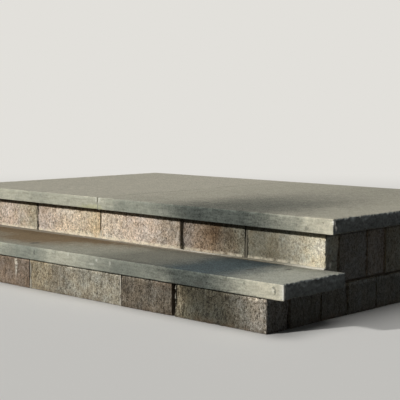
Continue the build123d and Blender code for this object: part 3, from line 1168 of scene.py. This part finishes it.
# %% [markdown]
# The material puts the greys, the painted light and shade, and the marks together. The grain's contrast is
# raised inside the painted shadow band.

# %% Bluestone
BROKEN_GREY = tone(85, 89, 88)
FACING_UP = (0.6, 0.9)
TREAD_LEVEL = 0.2
ALONG_THE_SLAB = (0.16, 1.0, 1.0)
MOTTLE = (34.0, 5.0, 0.7, 13.0)
GRAIN = (170.0, 5.0, 0.8, 14.0)
BEDDING = (130.0, 4.0, 0.7, 15.0)
SMUDGES = (62.0, 4.0, 0.7, 0.58, 0.74, 17.0)
FLAMED = (160.0, 4.0, 0.7, 16.0)
PITS_PER_METRE = 48.0
PIT_SIZE = (0.08, 0.18, 1.0, 0.0)
PIT_SHARE = (0.82, 0.86)
PITTED = 0.5
CONTRAST_OUTSIDE_BAND, CONTRAST_IN_BAND = 0.75, 1.7
LANDING_EDGE_CONTRAST = 0.86
EDGE_GRAIN, TOP_GRAIN = 2.1, 4.2
EDGE_BEDDING, TOP_BEDDING = 1.6, 0.9
SMUDGED = -0.35
BLUESTONE_LEVEL = 1.02
FRACTURE = (0.3, 0.7, 1.7, 0.6)
WORN_MOTTLE = (0.4, 0.6)
WORN, WORN_LIGHT = 0.4, 1.35
BLUESTONE_HEIGHT = {"flamed": 0.8, "grain": 0.4, "bedding": 0.5, "pits": -1.0}
BLUESTONE_ROUGHNESS = 0.8
BLUESTONE_BUMP = 0.0012


def bluestone_material():
    """Drifting tones, painted light and shade, bedding, grain, pits, blemishes and worn arrises."""
    material, tree, shader, place = new_material("bluestone_sawn", BLUESTONE_ROUGHNESS)
    upward = ramp_between(tree, facing(tree)["Z"], *FACING_UP)
    on_tread = maths(tree, "LESS_THAN", parted(tree, place)["Z"], TREAD_LEVEL)
    on_landing = less(tree, 1.0, on_tread)
    shadowed = slab_shadow_band(tree, place, upward, on_landing)
    colour = slab_grey(tree, place, upward, on_tread)
    colour = slab_shaded(tree, place, colour, shadowed, upward, on_tread)

    mottle = noise(tree, place, *MOTTLE)
    grain = noise(tree, place, *GRAIN)
    bedding = noise(tree, multiplied(tree, place, ALONG_THE_SLAB), *BEDDING)
    light = added(
        tree, centred(tree, mottle), swing(tree, grain, blended_number(tree, upward, EDGE_GRAIN, TOP_GRAIN)),
        swing(tree, bedding, blended_number(tree, upward, EDGE_BEDDING, TOP_BEDDING)),
        times(tree, clumps(tree, place, *SMUDGES), SMUDGED),
    )
    landing_edge = times(tree, less(tree, 1.0, upward), on_landing)
    contrast = times(
        tree, blended_number(tree, shadowed, CONTRAST_OUTSIDE_BAND, CONTRAST_IN_BAND),
        blended_number(tree, landing_edge, 1.0, LANDING_EDGE_CONTRAST),
    )
    colour = scaled(tree, colour, added(tree, BLUESTONE_LEVEL, times(tree, light, contrast)))

    from_pit, pit_lot = cells(tree, place, PITS_PER_METRE)
    pits = times(
        tree, ramp_between(tree, from_pit, *PIT_SIZE), ramp_between(tree, pit_lot, *PIT_SHARE),
    )
    colour = blended(tree, times(tree, pits, PITTED), colour, PIT_GREY)
    fracture = scaled(tree, BROKEN_GREY, ramp_between(tree, mark(tree, "tooth"), *FRACTURE))
    colour = blended(tree, mark(tree, "broken"), colour, fracture)
    colour = blemished(tree, place, colour, SLAB_BLEMISHES)
    worn = times(tree, mark(tree, "arris"), ramp_between(tree, mottle, *WORN_MOTTLE))
    colour = blended(tree, times(tree, worn, WORN), colour, scaled(tree, colour, WORN_LIGHT))
    tree.links.new(colour, shader.inputs["Base Color"])

    flamed = noise(tree, place, *FLAMED)
    height = weighed(tree, BLUESTONE_HEIGHT, flamed=flamed, grain=grain, bedding=bedding, pits=pits)
    bumped(tree, shader, height, BLUESTONE_BUMP)
    return material


bluestone = bluestone_material()
print("material", bluestone.name, "with", len(bluestone.node_tree.nodes), "nodes")

# %% [markdown]
# The slabs themselves. Their tops and undersides are wide and flat, so only a rim of fine grid is kept
# there for the arrises, and the middle is one face. The landing's lower arris isn't quite level: it rises
# a few millimetres towards the left.

# %% The slabs
SLAB_GRID = 0.004
SLAB_RIM = 14

# Whether the left and the right end are pitched, how far the lower front arris rises at the left, how
# round that arris is, how deep the teeth of a pitched end are, and the seed
SLAB_WORK = {
    "tread_slab": (1.0, 1.0, 0.0, 0.0032, 0.0052, 4.0),
    "landing_slab_right": (0.0, 1.0, 0.0035, 0.002, 0.0078, 5.0),
    "landing_slab_left": (1.0, 0.0, 0.0035, 0.002, 0.0078, 6.0),
}


def bluestone_piece(node, left, right, lift, under, tooth, seed):
    """Carves one slab, with its left or right end pitched where they are 1."""
    low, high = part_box(node)
    centre, half = middle_and_half(low, high)
    steps = (SLAB_GRID, SLAB_GRID, FRONT_GRID)
    places = [even_places(low[axis], high[axis], step) for axis, step in enumerate(steps)]
    piece = blank(node + "_slab", places, {"-z": SLAB_RIM, "+z": SLAB_RIM})
    carve(
        piece, bluestone_slab, Centre=centre, Half=half, Left=left, Right=right, Lift=lift, Under=under,
        Tooth=tooth, Seed=seed, Material=bluestone,
    )
    stand_for(piece, node)
    return piece


slabs = [bluestone_piece(node, *work) for node, work in SLAB_WORK.items()]
print(len(slabs), "bluestone slabs")

# %% [markdown]
# Mortar. It is pressed into the joints and struck back from the faces. Frost and rain have washed it out
# unevenly since, most of all in the wide joints. The joint pieces are blanks too, one for each gap
# between two stones, and a tree pushes their showing side inwards.

# %% The tree for joint mortar
WASHED = (24.0, 3.0, 0.6, 0.3, 0.65)
WAVES = (45.0, 3.0, 0.6)
WAVING = 1.6
LUMPS = (170.0, 4.0, 0.7)
SMEARING = (80.0, 3.0, 0.7)
SOFT_EDGE = (-0.3, 0.3)
JOINT_FOOT = (-1.0, -0.7)
DARK_DEPTH = (0.001, 0.009)


def joint_tree():
    """Strikes the showing side of a joint back, and washes it further into the wall. From is the level
    above which it is washed, from -1 at the foot to 1 at the top, and Until is the same from side to side."""
    tree, size = carving_tree(
        "joint_mortar", Centre=(0.0, 0.0, 0.0), Half=(0.1, 0.1, 0.1), Outward=(0.0, -1.0, 0.0),
        Across=(1.0, 0.0, 0.0), Struck=0.003, Wash=0.01, From=-2.0, Until=2.0, Foot=0.0, Soiled=0.0,
        Smear=0.009, Rough=0.002, Fade=0.04, Seed=0.0, Material="mortar",
    )
    place = place_of_point(tree)
    local = vector_maths(tree, "SUBTRACT", place, size["Centre"])
    reach = maths(tree, "ABSOLUTE", measured(tree, "DOT_PRODUCT", size["Half"], size["Outward"]))
    inside = less(tree, reach, measured(tree, "DOT_PRODUCT", local, size["Outward"]))
    fade = less(tree, 1.0, maths(tree, "DIVIDE", inside, size["Fade"]), clamped=True)
    level = parted(tree, vector_maths(tree, "DIVIDE", local, size["Half"]))["Z"]
    half_across = measured(tree, "DOT_PRODUCT", size["Half"], size["Across"])
    across = maths(tree, "DIVIDE", measured(tree, "DOT_PRODUCT", local, size["Across"]), half_across)

    high_enough = ramp_between(tree, less(tree, level, size["From"]), *SOFT_EDGE)
    wavy = added(tree, across, swing(tree, noise(tree, place, *WAVES, size["Seed"]), WAVING))
    far_enough = ramp_between(tree, less(tree, wavy, size["Until"]), *SOFT_EDGE, 1.0, 0.0)
    washed = clumps(tree, place, *WASHED, size["Seed"])
    washed = times(tree, washed, high_enough, far_enough, size["Wash"])
    lumps = times(tree, noise(tree, place, *LUMPS, size["Seed"]), size["Rough"])
    foot = ramp_between(tree, level, *JOINT_FOOT, size["Foot"], 0.0)
    depth = added(tree, size["Struck"], washed, foot, lumps)
    push = scaled(tree, size["Outward"], times(tree, depth, fade, -1.0))
    smear = times(tree, noise(tree, place, *SMEARING, size["Seed"]), size["Smear"])
    smear = scaled(tree, size["Across"], times(tree, smear, across, fade))
    moved = vector_maths(tree, "ADD", place, vector_maths(tree, "ADD", push, smear))
    numbers = {
        "washed": times(tree, ramp_between(tree, washed, *DARK_DEPTH), fade),
        "soiled": size["Soiled"],
    }
    finish_carving(tree, size["Mesh"], moved, numbers, {}, size["Material"])
    return tree


joint_mortar = joint_tree()

# %% [markdown]
# Mortar is sand held by lime and cement. Fresh it is cream, and deep in a joint it is dark with dirt.
# The marks "washed" and "soiled" tell the material how deep and how dirty a point is. The beds, which the
# trees don't carve, take the soiled mortar, and the filling between the two slabs is greyer than the rest.

# %% Mortar
MORTAR_CREAM = tone(252, 240, 214)
MORTAR_GREY = tone(230, 225, 208)
SLAB_FILL = tone(172, 170, 152)
SLAB_FILL_GREY = tone(150, 150, 136)
SOILED_CREAM = tone(98, 88, 72)
SOILED_GREY = tone(56, 50, 41)
JOINT_DIRT = tone(80, 68, 52)
MORTAR_CLOUDS = (22.0, 4.0, 0.6, 21.0)
CLOUD_EDGE = (0.35, 0.65)
SHADED_RIGHT = (0.1, 0.45)
SAND_PER_METRE = 700.0
SAND_LEVEL, SAND_PLAY = 0.86, 0.28
WASHED_DARK = 0.9
MORTAR_HEIGHT = {"edges": 0.6, "clouds": 1.0}
MORTAR_ROUGHNESS = 0.95
MORTAR_BUMP = 0.001


def mortar_material(name, paste, shade):
    """Sand grains in a paste of two tones, darkened where it lies deep."""
    material, tree, shader, place = new_material(name, MORTAR_ROUGHNESS)
    clouds = noise(tree, place, *MORTAR_CLOUDS)
    edges, sand = cells(tree, place, SAND_PER_METRE)
    to_right = ramp_between(tree, parted(tree, place)["X"], *SHADED_RIGHT)
    shaded = maths(tree, "MAXIMUM", ramp_between(tree, clouds, *CLOUD_EDGE), to_right)
    colour = blended(tree, shaded, paste, shade)
    colour = scaled(tree, colour, added(tree, SAND_LEVEL, times(tree, sand, SAND_PLAY)))
    colour = blended(tree, mark(tree, "soiled"), colour, SOILED_CREAM)
    # Painted shadow: the band of shade across the steps darkens the mortar too.
    colour = with_painted_shadow(tree, colour, painted_shadow_band(tree, place), BAND_SHADOW_TINT)
    colour = blended(tree, times(tree, mark(tree, "washed"), WASHED_DARK), colour, JOINT_DIRT)
    tree.links.new(colour, shader.inputs["Base Color"])
    bumped(tree, shader, weighed(tree, MORTAR_HEIGHT, edges=edges, clouds=clouds), MORTAR_BUMP)
    return material


mortar = mortar_material("mortar_struck", MORTAR_CREAM, MORTAR_GREY)
soiled_mortar = mortar_material("mortar_soiled", SOILED_CREAM, SOILED_GREY)
slab_mortar = mortar_material("mortar_slab", SLAB_FILL, SLAB_FILL_GREY)
print("materials", mortar.name, soiled_mortar.name, "and", slab_mortar.name)

# %% [markdown]
# The core is concrete, poured between boards. It shows at the back alone, as a grey skin with the level
# marks of the boards and the small holes that air leaves. A wave texture gives the boards, because they
# are all of one height.

# %% Concrete
CONCRETE_PALE = tone(158, 155, 146)
CONCRETE_DARK = tone(124, 121, 113)
CEMENT_CLOUDS = (5.0, 5.0, 0.6, 31.0)
CEMENT_GRAIN = (130.0, 4.0, 0.65, 32.0)
BOARDS = {"Scale": 2.1, "Distortion": 0.4, "Detail": 2.0}
BOARD_SEAM = (0.93, 1.0)
HOLES_PER_METRE = 48.0
HOLE_SIZE = (0.08, 0.15, 1.0, 0.0)
HOLE_SHARE = (0.7, 0.75)
CONCRETE_LEVEL = 0.9
CONCRETE_LIGHT = {"grain": 0.25, "seam": -0.2, "holes": -0.45}
CONCRETE_HEIGHT = {"grain": 1.0, "seam": -0.8, "holes": -1.5}
CONCRETE_ROUGHNESS = 0.92
CONCRETE_BUMP = 0.0012


def concrete_material():
    """Poured concrete: clouds of cement, level marks of the form boards, and small air holes."""
    material, tree, shader, place = new_material("concrete_poured", CONCRETE_ROUGHNESS)
    clouds = ramp_between(tree, noise(tree, place, *CEMENT_CLOUDS), *CLOUD_EDGE)
    board = add_node(
        tree, "ShaderNodeTexWave", {"Vector": place, **BOARDS}, wave_type="BANDS", bands_direction="Z",
        wave_profile="SAW",
    ).outputs["Fac"]
    from_hole, hole_lot = cells(tree, place, HOLES_PER_METRE)
    patterns = {
        "grain": noise(tree, place, *CEMENT_GRAIN),
        "seam": ramp_between(tree, board, *BOARD_SEAM),
        "holes": times(
            tree, ramp_between(tree, from_hole, *HOLE_SIZE), ramp_between(tree, hole_lot, *HOLE_SHARE),
        ),
    }
    colour = blended(tree, clouds, CONCRETE_PALE, CONCRETE_DARK)
    light = added(tree, CONCRETE_LEVEL, weighed(tree, CONCRETE_LIGHT, **patterns))
    tree.links.new(scaled(tree, colour, light), shader.inputs["Base Color"])
    bumped(tree, shader, weighed(tree, CONCRETE_HEIGHT, **patterns), CONCRETE_BUMP)
    return material


concrete = concrete_material()
print("material", concrete.name, "with", len(concrete.node_tree.nodes), "nodes")

# %% [markdown]
# Each joint of the front is in its own state, and the joints of the sides share one. The mortar of one
# joint fills the gap between two neighbours, so its box is measured from them and not written down.

# %% The mortar of one joint
JOINT_GRID = 0.004
JOINT_ROWS = 4
ALL = 2.0

# How far a joint is struck back, how deep it is washed out, above which level and until how far across,
# and how soiled it is, by the stone on its right
JOINT_STATES = {
    "upper_riser_stone_1": (0.002, 0.01, 0.5, -0.3, 0.6),
    "upper_riser_stone_2": (0.006, 0.024, -ALL, 0.0, 0.4),
    "upper_riser_stone_3": (0.001, 0.012, 0.1, ALL, 0.1),
    "lower_riser_stone_1": (0.008, 0.02, -ALL, -0.1, 0.6),
    "lower_riser_stone_2": (-0.001, 0.01, -ALL, -0.4, 0.5),
    "lower_riser_stone_3": (0.002, 0.0, -ALL, ALL, 0.55),
}
USUAL_STATE = (0.003, 0.008, -ALL, ALL, 0.9)


def joint_piece(name, low, high, outward, state, seed, paste=mortar, foot=0.0):
    """Carves the mortar of one gap, whose showing side faces outward. Its foot is struck back by foot."""
    centre, half = middle_and_half(low, high)
    places = []
    for axis in range(3):
        if outward[axis] != 0:
            start, end = (low, high) if outward[axis] < 0 else (high, low)
            places.append(fading_places(start[axis], end[axis], JOINT_GRID))
        elif axis == 2:
            places.append(even_places(low[axis], high[axis], JOINT_GRID))
        else:
            places.append(thin_places(low[axis], high[axis], JOINT_ROWS))
    piece = blank(name, places, {})
    struck, wash, from_level, until, soiled = state
    across = (abs(outward[1]), abs(outward[0]), 0.0)
    return carve(
        piece, joint_mortar, Centre=centre, Half=half, Outward=outward, Across=across, Struck=struck,
        Wash=wash, From=from_level, Until=until, Foot=foot, Soiled=soiled, Seed=seed, Material=paste,
    )


def put_together(name, pieces):
    """One piece from several that don't touch."""
    whole = bmesh.new()
    for piece in pieces:
        whole.from_mesh(piece.data)
    first = pieces[0]
    whole.to_mesh(first.data)
    whole.free()
    for piece in pieces[1:]:
        bpy.data.objects.remove(piece)
    first.name = name
    first.data.name = name
    return first


print(len(JOINT_STATES), "joints have a state of their own")

# %% [markdown]
# The joints are found course by course. The construction has one piece of pointing for the front and one
# for each side wall, so the joints of each wall are put together into one piece as well.

# %% The joints between the stones
POINTING_PROUD = 0.005
FRONT_SEED, SIDE_SEED, CORNER_SEED, SLAB_SEED = 40, 60, 80, 90
SLAB_JOINT_STATE = (-0.001, 0.008, 0.45, ALL, 0.0)
SLAB_JOINT_FOOT = 0.008


def joints_of(names, length, outward, face, seed):
    """The mortar between each pair of neighbours, which lie in line along the axis called length."""
    in_line = sorted(names, key=lambda name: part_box(name)[0][length])
    pieces = []
    for before, after in zip(in_line, in_line[1:]):
        low, high = (Vector(corner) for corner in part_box(before))
        low[length], high[length] = high[length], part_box(after)[0][length]
        if outward[1 - length] < 0:
            low[1 - length] = face
        else:
            high[1 - length] = face
        seed = seed + 1
        state = JOINT_STATES.get(after, USUAL_STATE)
        pieces.append(joint_piece(f"{after}_joint", low, high, outward, state, seed))
    return pieces


def corner_joint(course, side, outward, face):
    """The mortar between a riser's corner stone and the first stone of the side wall."""
    ends = stones_of(f"{course}_riser_stone_")
    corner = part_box(ends[0] if side == "right" else ends[-1])
    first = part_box(f"{side}_{course}_stone_1")
    low, high = Vector(first[0]), Vector(first[1])
    low.y, high.y = corner[1].y, first[0].y
    if side == "right":
        high.x = face
    else:
        low.x = face
    return joint_piece(f"corner_{side}_{course}", low, high, outward, USUAL_STATE, CORNER_SEED)


riser_joints = []
side_joints = {"right": [], "left": []}
for course, bed in (("lower", "course_bed"), ("upper", "landing_bed")):
    bed_low, bed_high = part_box(bed)
    front = bed_low.y - POINTING_PROUD
    riser_joints += joints_of(stones_of(f"{course}_riser_stone_"), 0, OUTWARD["-y"], front, FRONT_SEED)
    sides = (
        ("right", bed_high.x + POINTING_PROUD, OUTWARD["+x"]),
        ("left", bed_low.x - POINTING_PROUD, OUTWARD["-x"]),
    )
    for side, face, outward in sides:
        side_stones = stones_of(f"{side}_{course}_stone_")
        side_joints[side] += joints_of(side_stones, 1, outward, face, SIDE_SEED)
        side_joints[side].append(corner_joint(course, side, outward, face))
stand_for(put_together("riser_pointing_mortar", riser_joints), "riser_pointing")
for side, pieces in side_joints.items():
    stand_for(put_together(f"{side}_pointing_mortar", pieces), f"{side}_pointing")
slab_joint = joint_piece(
    "landing_joint_mortar", *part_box("landing_joint"), OUTWARD["-y"], SLAB_JOINT_STATE, SLAB_SEED,
    slab_mortar, SLAB_JOINT_FOOT,
)
stand_for(slab_joint, "landing_joint")
print(len(riser_joints), "joints in the risers, and", sum(map(len, side_joints.values())), "in the sides")

# %% [markdown]
# A bead of mortar closes the foot of the upper riser, where rain would get in behind the tread. It was
# struck with a finger, so it follows the wall in one uneven line. In Geometry Nodes that is a curve with a
# small outline swept along it, and noise for the hand that made it. Dirt lies along its foot.

# %% The bead at the riser's foot
BEAD_KNEE = (0.45, 0.8)
OUTLINE_POINTS = 24
BEAD_WAVES = (18.0, 3.0, 0.6)
BEAD_LUMPS = (120.0, 3.0, 0.7)
DIRT_SLOPE = -0.003
DIRT_WANDER = 0.006
DIRTY = (-0.001, 0.001, 0.85, 0.0)
CLEANER_RIGHT = (0.6, 0.95, 1.0, 0.5)
BEAD_SEED = 3.0


def bead_outline(tree, size):
    """The outline of the bead: flat on the tread and on the wall, with a knee between them."""
    back = times(tree, size["Back"], -1.0)
    top = times(tree, size["Height"], -1.0)
    knee_out, knee_up = BEAD_KNEE
    corners = {
        "Point 1": joined(tree, back, 0.0, 0.0),
        "Point 2": joined(tree, size["Depth"], 0.0, 0.0),
        "Point 3": joined(tree, times(tree, size["Depth"], knee_out), times(tree, top, knee_up), 0.0),
        "Point 4": joined(tree, back, top, 0.0),
    }
    outline = add_node(tree, "GeometryNodeCurvePrimitiveQuadrilateral", corners, mode="POINTS").outputs[0]
    feeds = {"Curve": outline, "Count": OUTLINE_POINTS}
    return add_node(tree, "GeometryNodeResampleCurve", feeds).outputs[0]


def bead_tree():
    """Sweeps a small sloping outline along a line, and makes it uneven."""
    tree, size = carving_tree(
        "struck_bead", Start=(0.0, 0.0, 0.0), End=(1.0, 0.0, 0.0), Depth=0.009, Height=0.006,
        Back=0.004, Step=0.004, Lumps=0.35, Dirt=0.0048, Seed=0.0, Material="mortar",
    )
    line = add_node(tree, "GeometryNodeCurvePrimitiveLine", {"Start": size["Start"], "End": size["End"]})
    line = add_node(
        tree, "GeometryNodeResampleCurve", {"Curve": line.outputs[0], "Length": size["Step"]}, mode="LENGTH",
    ).outputs[0]
    feeds = {"Curve": line, "Profile Curve": bead_outline(tree, size), "Fill Caps": True}
    swept = add_node(tree, "GeometryNodeCurveToMesh", feeds).outputs[0]

    place = place_of_point(tree)
    local = vector_maths(tree, "SUBTRACT", place, size["Start"])
    wave = noise(tree, place, *BEAD_WAVES, size["Seed"])
    lump = noise(tree, place, *BEAD_LUMPS, size["Seed"])
    hand = added(tree, 1.0, times(tree, added(tree, wave, lump, -1.0), size["Lumps"]))
    uneven = multiplied(tree, local, joined(tree, 1.0, hand, hand))
    moved = vector_maths(tree, "ADD", uneven, size["Start"])

    x = parted(tree, place)["X"]
    dirt_line = added(tree, size["Dirt"], times(tree, x, DIRT_SLOPE), swing(tree, lump, DIRT_WANDER))
    over_dirt = less(tree, parted(tree, uneven)["Z"], dirt_line)
    soiled = times(tree, ramp_between(tree, over_dirt, *DIRTY), ramp_between(tree, x, *CLEANER_RIGHT))
    finish_carving(tree, swept, moved, {"washed": 0.0, "soiled": soiled}, {}, size["Material"])
    return tree


bead_low, bead_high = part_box("foot_mortar")
bead = carve(
    new_piece("foot_mortar_bead", [], []), bead_tree(), Start=(bead_low.x, bead_high.y, bead_low.z),
    End=(bead_high.x, bead_high.y, bead_low.z), Seed=BEAD_SEED, Material=mortar,
)
stand_for(bead, "foot_mortar")
bead_points = [vertex.co for vertex in bead.data.vertices]
for axis, word in enumerate("xyz"):
    spread = [point[axis] for point in bead_points]
    print("bead", word, min(spread), max(spread), "for", bead_low[axis], bead_high[axis])

# %% [markdown]
# The beds and the core keep the shapes of the construction. The beds lie back in the shade of the stones,
# and the core is seen from behind alone, so a material is enough for them.

# %% Beds and core
for name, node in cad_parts.items():
    if node.hide_render:
        continue
    in_core = "core" in name
    node.data.materials.clear()
    node.data.materials.append(concrete if in_core else soiled_mortar)
    print(name, "gets", "concrete" if in_core else "soiled mortar")

# %% [markdown]
# The stage is a plain pale floor that runs out into a backdrop of the same colour, so there is no horizon.
# The camera sees the backdrop's colour as it is, and the floor fades into it away from the steps.

# %% The floor
BACKDROP = tone(226, 224, 219)
FLOOR_BOUNCE = tone(124, 122, 120)
FLOOR_REACH = 40.0
FLOOR_FADE = (2.2, 7.0)
FLOOR_ROUGHNESS = 0.9
LEVEL = (1.0, 1.0, 0.0)


def seen_directly(tree):
    """1 for what the camera sees itself, or in a gloss, or through glass."""
    path = add_node(tree, "ShaderNodeLightPath").outputs
    seen = maths(tree, "MAXIMUM", path["Is Camera Ray"], path["Is Glossy Ray"])
    return maths(tree, "MAXIMUM", seen, path["Is Transmission Ray"])


def floor_material():
    """Pale and matt to the eye, but dark to the steps, so that it throws little light on them. It fades
    into the backdrop's plain colour away from the steps."""
    material, tree, shader, place = new_material("floor_pale", FLOOR_ROUGHNESS)
    shader.inputs["Specular IOR Level"].default_value = 0.0
    seen = seen_directly(tree)
    tree.links.new(blended(tree, seen, FLOOR_BOUNCE, BACKDROP), shader.inputs["Base Color"])
    away = measured(tree, "LENGTH", multiplied(tree, place, LEVEL))
    fade = times(tree, ramp_between(tree, away, *FLOOR_FADE), seen)
    glow = add_node(tree, "ShaderNodeEmission", {"Color": (*BACKDROP, 1.0), "Strength": 1.0}).outputs[0]
    mixed = add_node(tree, "ShaderNodeMixShader", {0: fade, 1: shader.outputs[0], 2: glow}).outputs[0]
    tree.links.new(mixed, tree.nodes["Material Output"].inputs["Surface"])
    return material


floor_corners = [(FLOOR_REACH * x, FLOOR_REACH * y, 0.0) for x, y in ((-1, -1), (1, -1), (1, 1), (-1, 1))]
floor = new_piece("floor", floor_corners, [(0, 1, 2, 3)])
floor.data.materials.append(floor_material())
floor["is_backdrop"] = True
print("the floor fades into the backdrop from", FLOOR_FADE[0], "to", FLOOR_FADE[1], "m out")

# %% [markdown]
# The key light is a low, soft sun from the front left, because the shadows under the slabs are shallow and
# the right side lies in shade. A wide light from above fills the tops, and a weak blue sky the shade.

# %% Light
SKY_LIGHT = 0.038
SKY_TINT = (0.86, 0.95, 1.08)


def sun_lamp(name, strength, softness, turn, height):
    """A lamp as far away as the sun: softness is how wide it looks, and turn and height are where it
    stands, seen from the front of the steps."""
    data = bpy.data.lights.new(name, "SUN")
    data.energy = strength
    data.angle = radians(softness)
    lamp = bpy.data.objects.new(name, data)
    bpy.context.scene.collection.objects.link(lamp)
    lamp.matrix_world = (
        Matrix.Rotation(radians(turn), 4, "Z") @ Matrix.Rotation(upright - radians(height), 4, "X")
    )


sun_lamp("key", strength=3.0, softness=2.0, turn=-22.0, height=18.5)
sun_lamp("top_light", strength=1.13, softness=50.0, turn=0.0, height=84.0)

world = bpy.data.worlds.new("studio")
bpy.context.scene.world = world
world.use_nodes = True
sky = world.node_tree
sky_light = sky.nodes["Background"]
sky_light.inputs["Color"].default_value = (*SKY_TINT, 1.0)
sky_light.inputs["Strength"].default_value = SKY_LIGHT
backdrop = add_node(sky, "ShaderNodeBackground", {"Color": (*BACKDROP, 1.0), "Strength": 1.0})
both = {0: seen_directly(sky), 1: sky_light.outputs[0], 2: backdrop.outputs[0]}
mixed = add_node(sky, "ShaderNodeMixShader", both).outputs[0]
sky.links.new(mixed, sky.nodes["World Output"].inputs["Surface"])
bpy.context.scene.view_settings.view_transform = "Standard"
print("two lamps and a sky of strength", SKY_LIGHT)

# %% [markdown]
# Last, the triangles of each piece are counted. A piece has to stay under 200,000 triangles, past which
# its STL file is thinned. Carving only takes a little stone away.

# %% Count the triangles
triangles = {}
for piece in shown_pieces():
    piece.data.calc_loop_triangles()
    triangles[piece.name] = len(piece.data.loop_triangles)
print("triangles", sum(triangles.values()), "at most", max(triangles.values()), "in one piece")
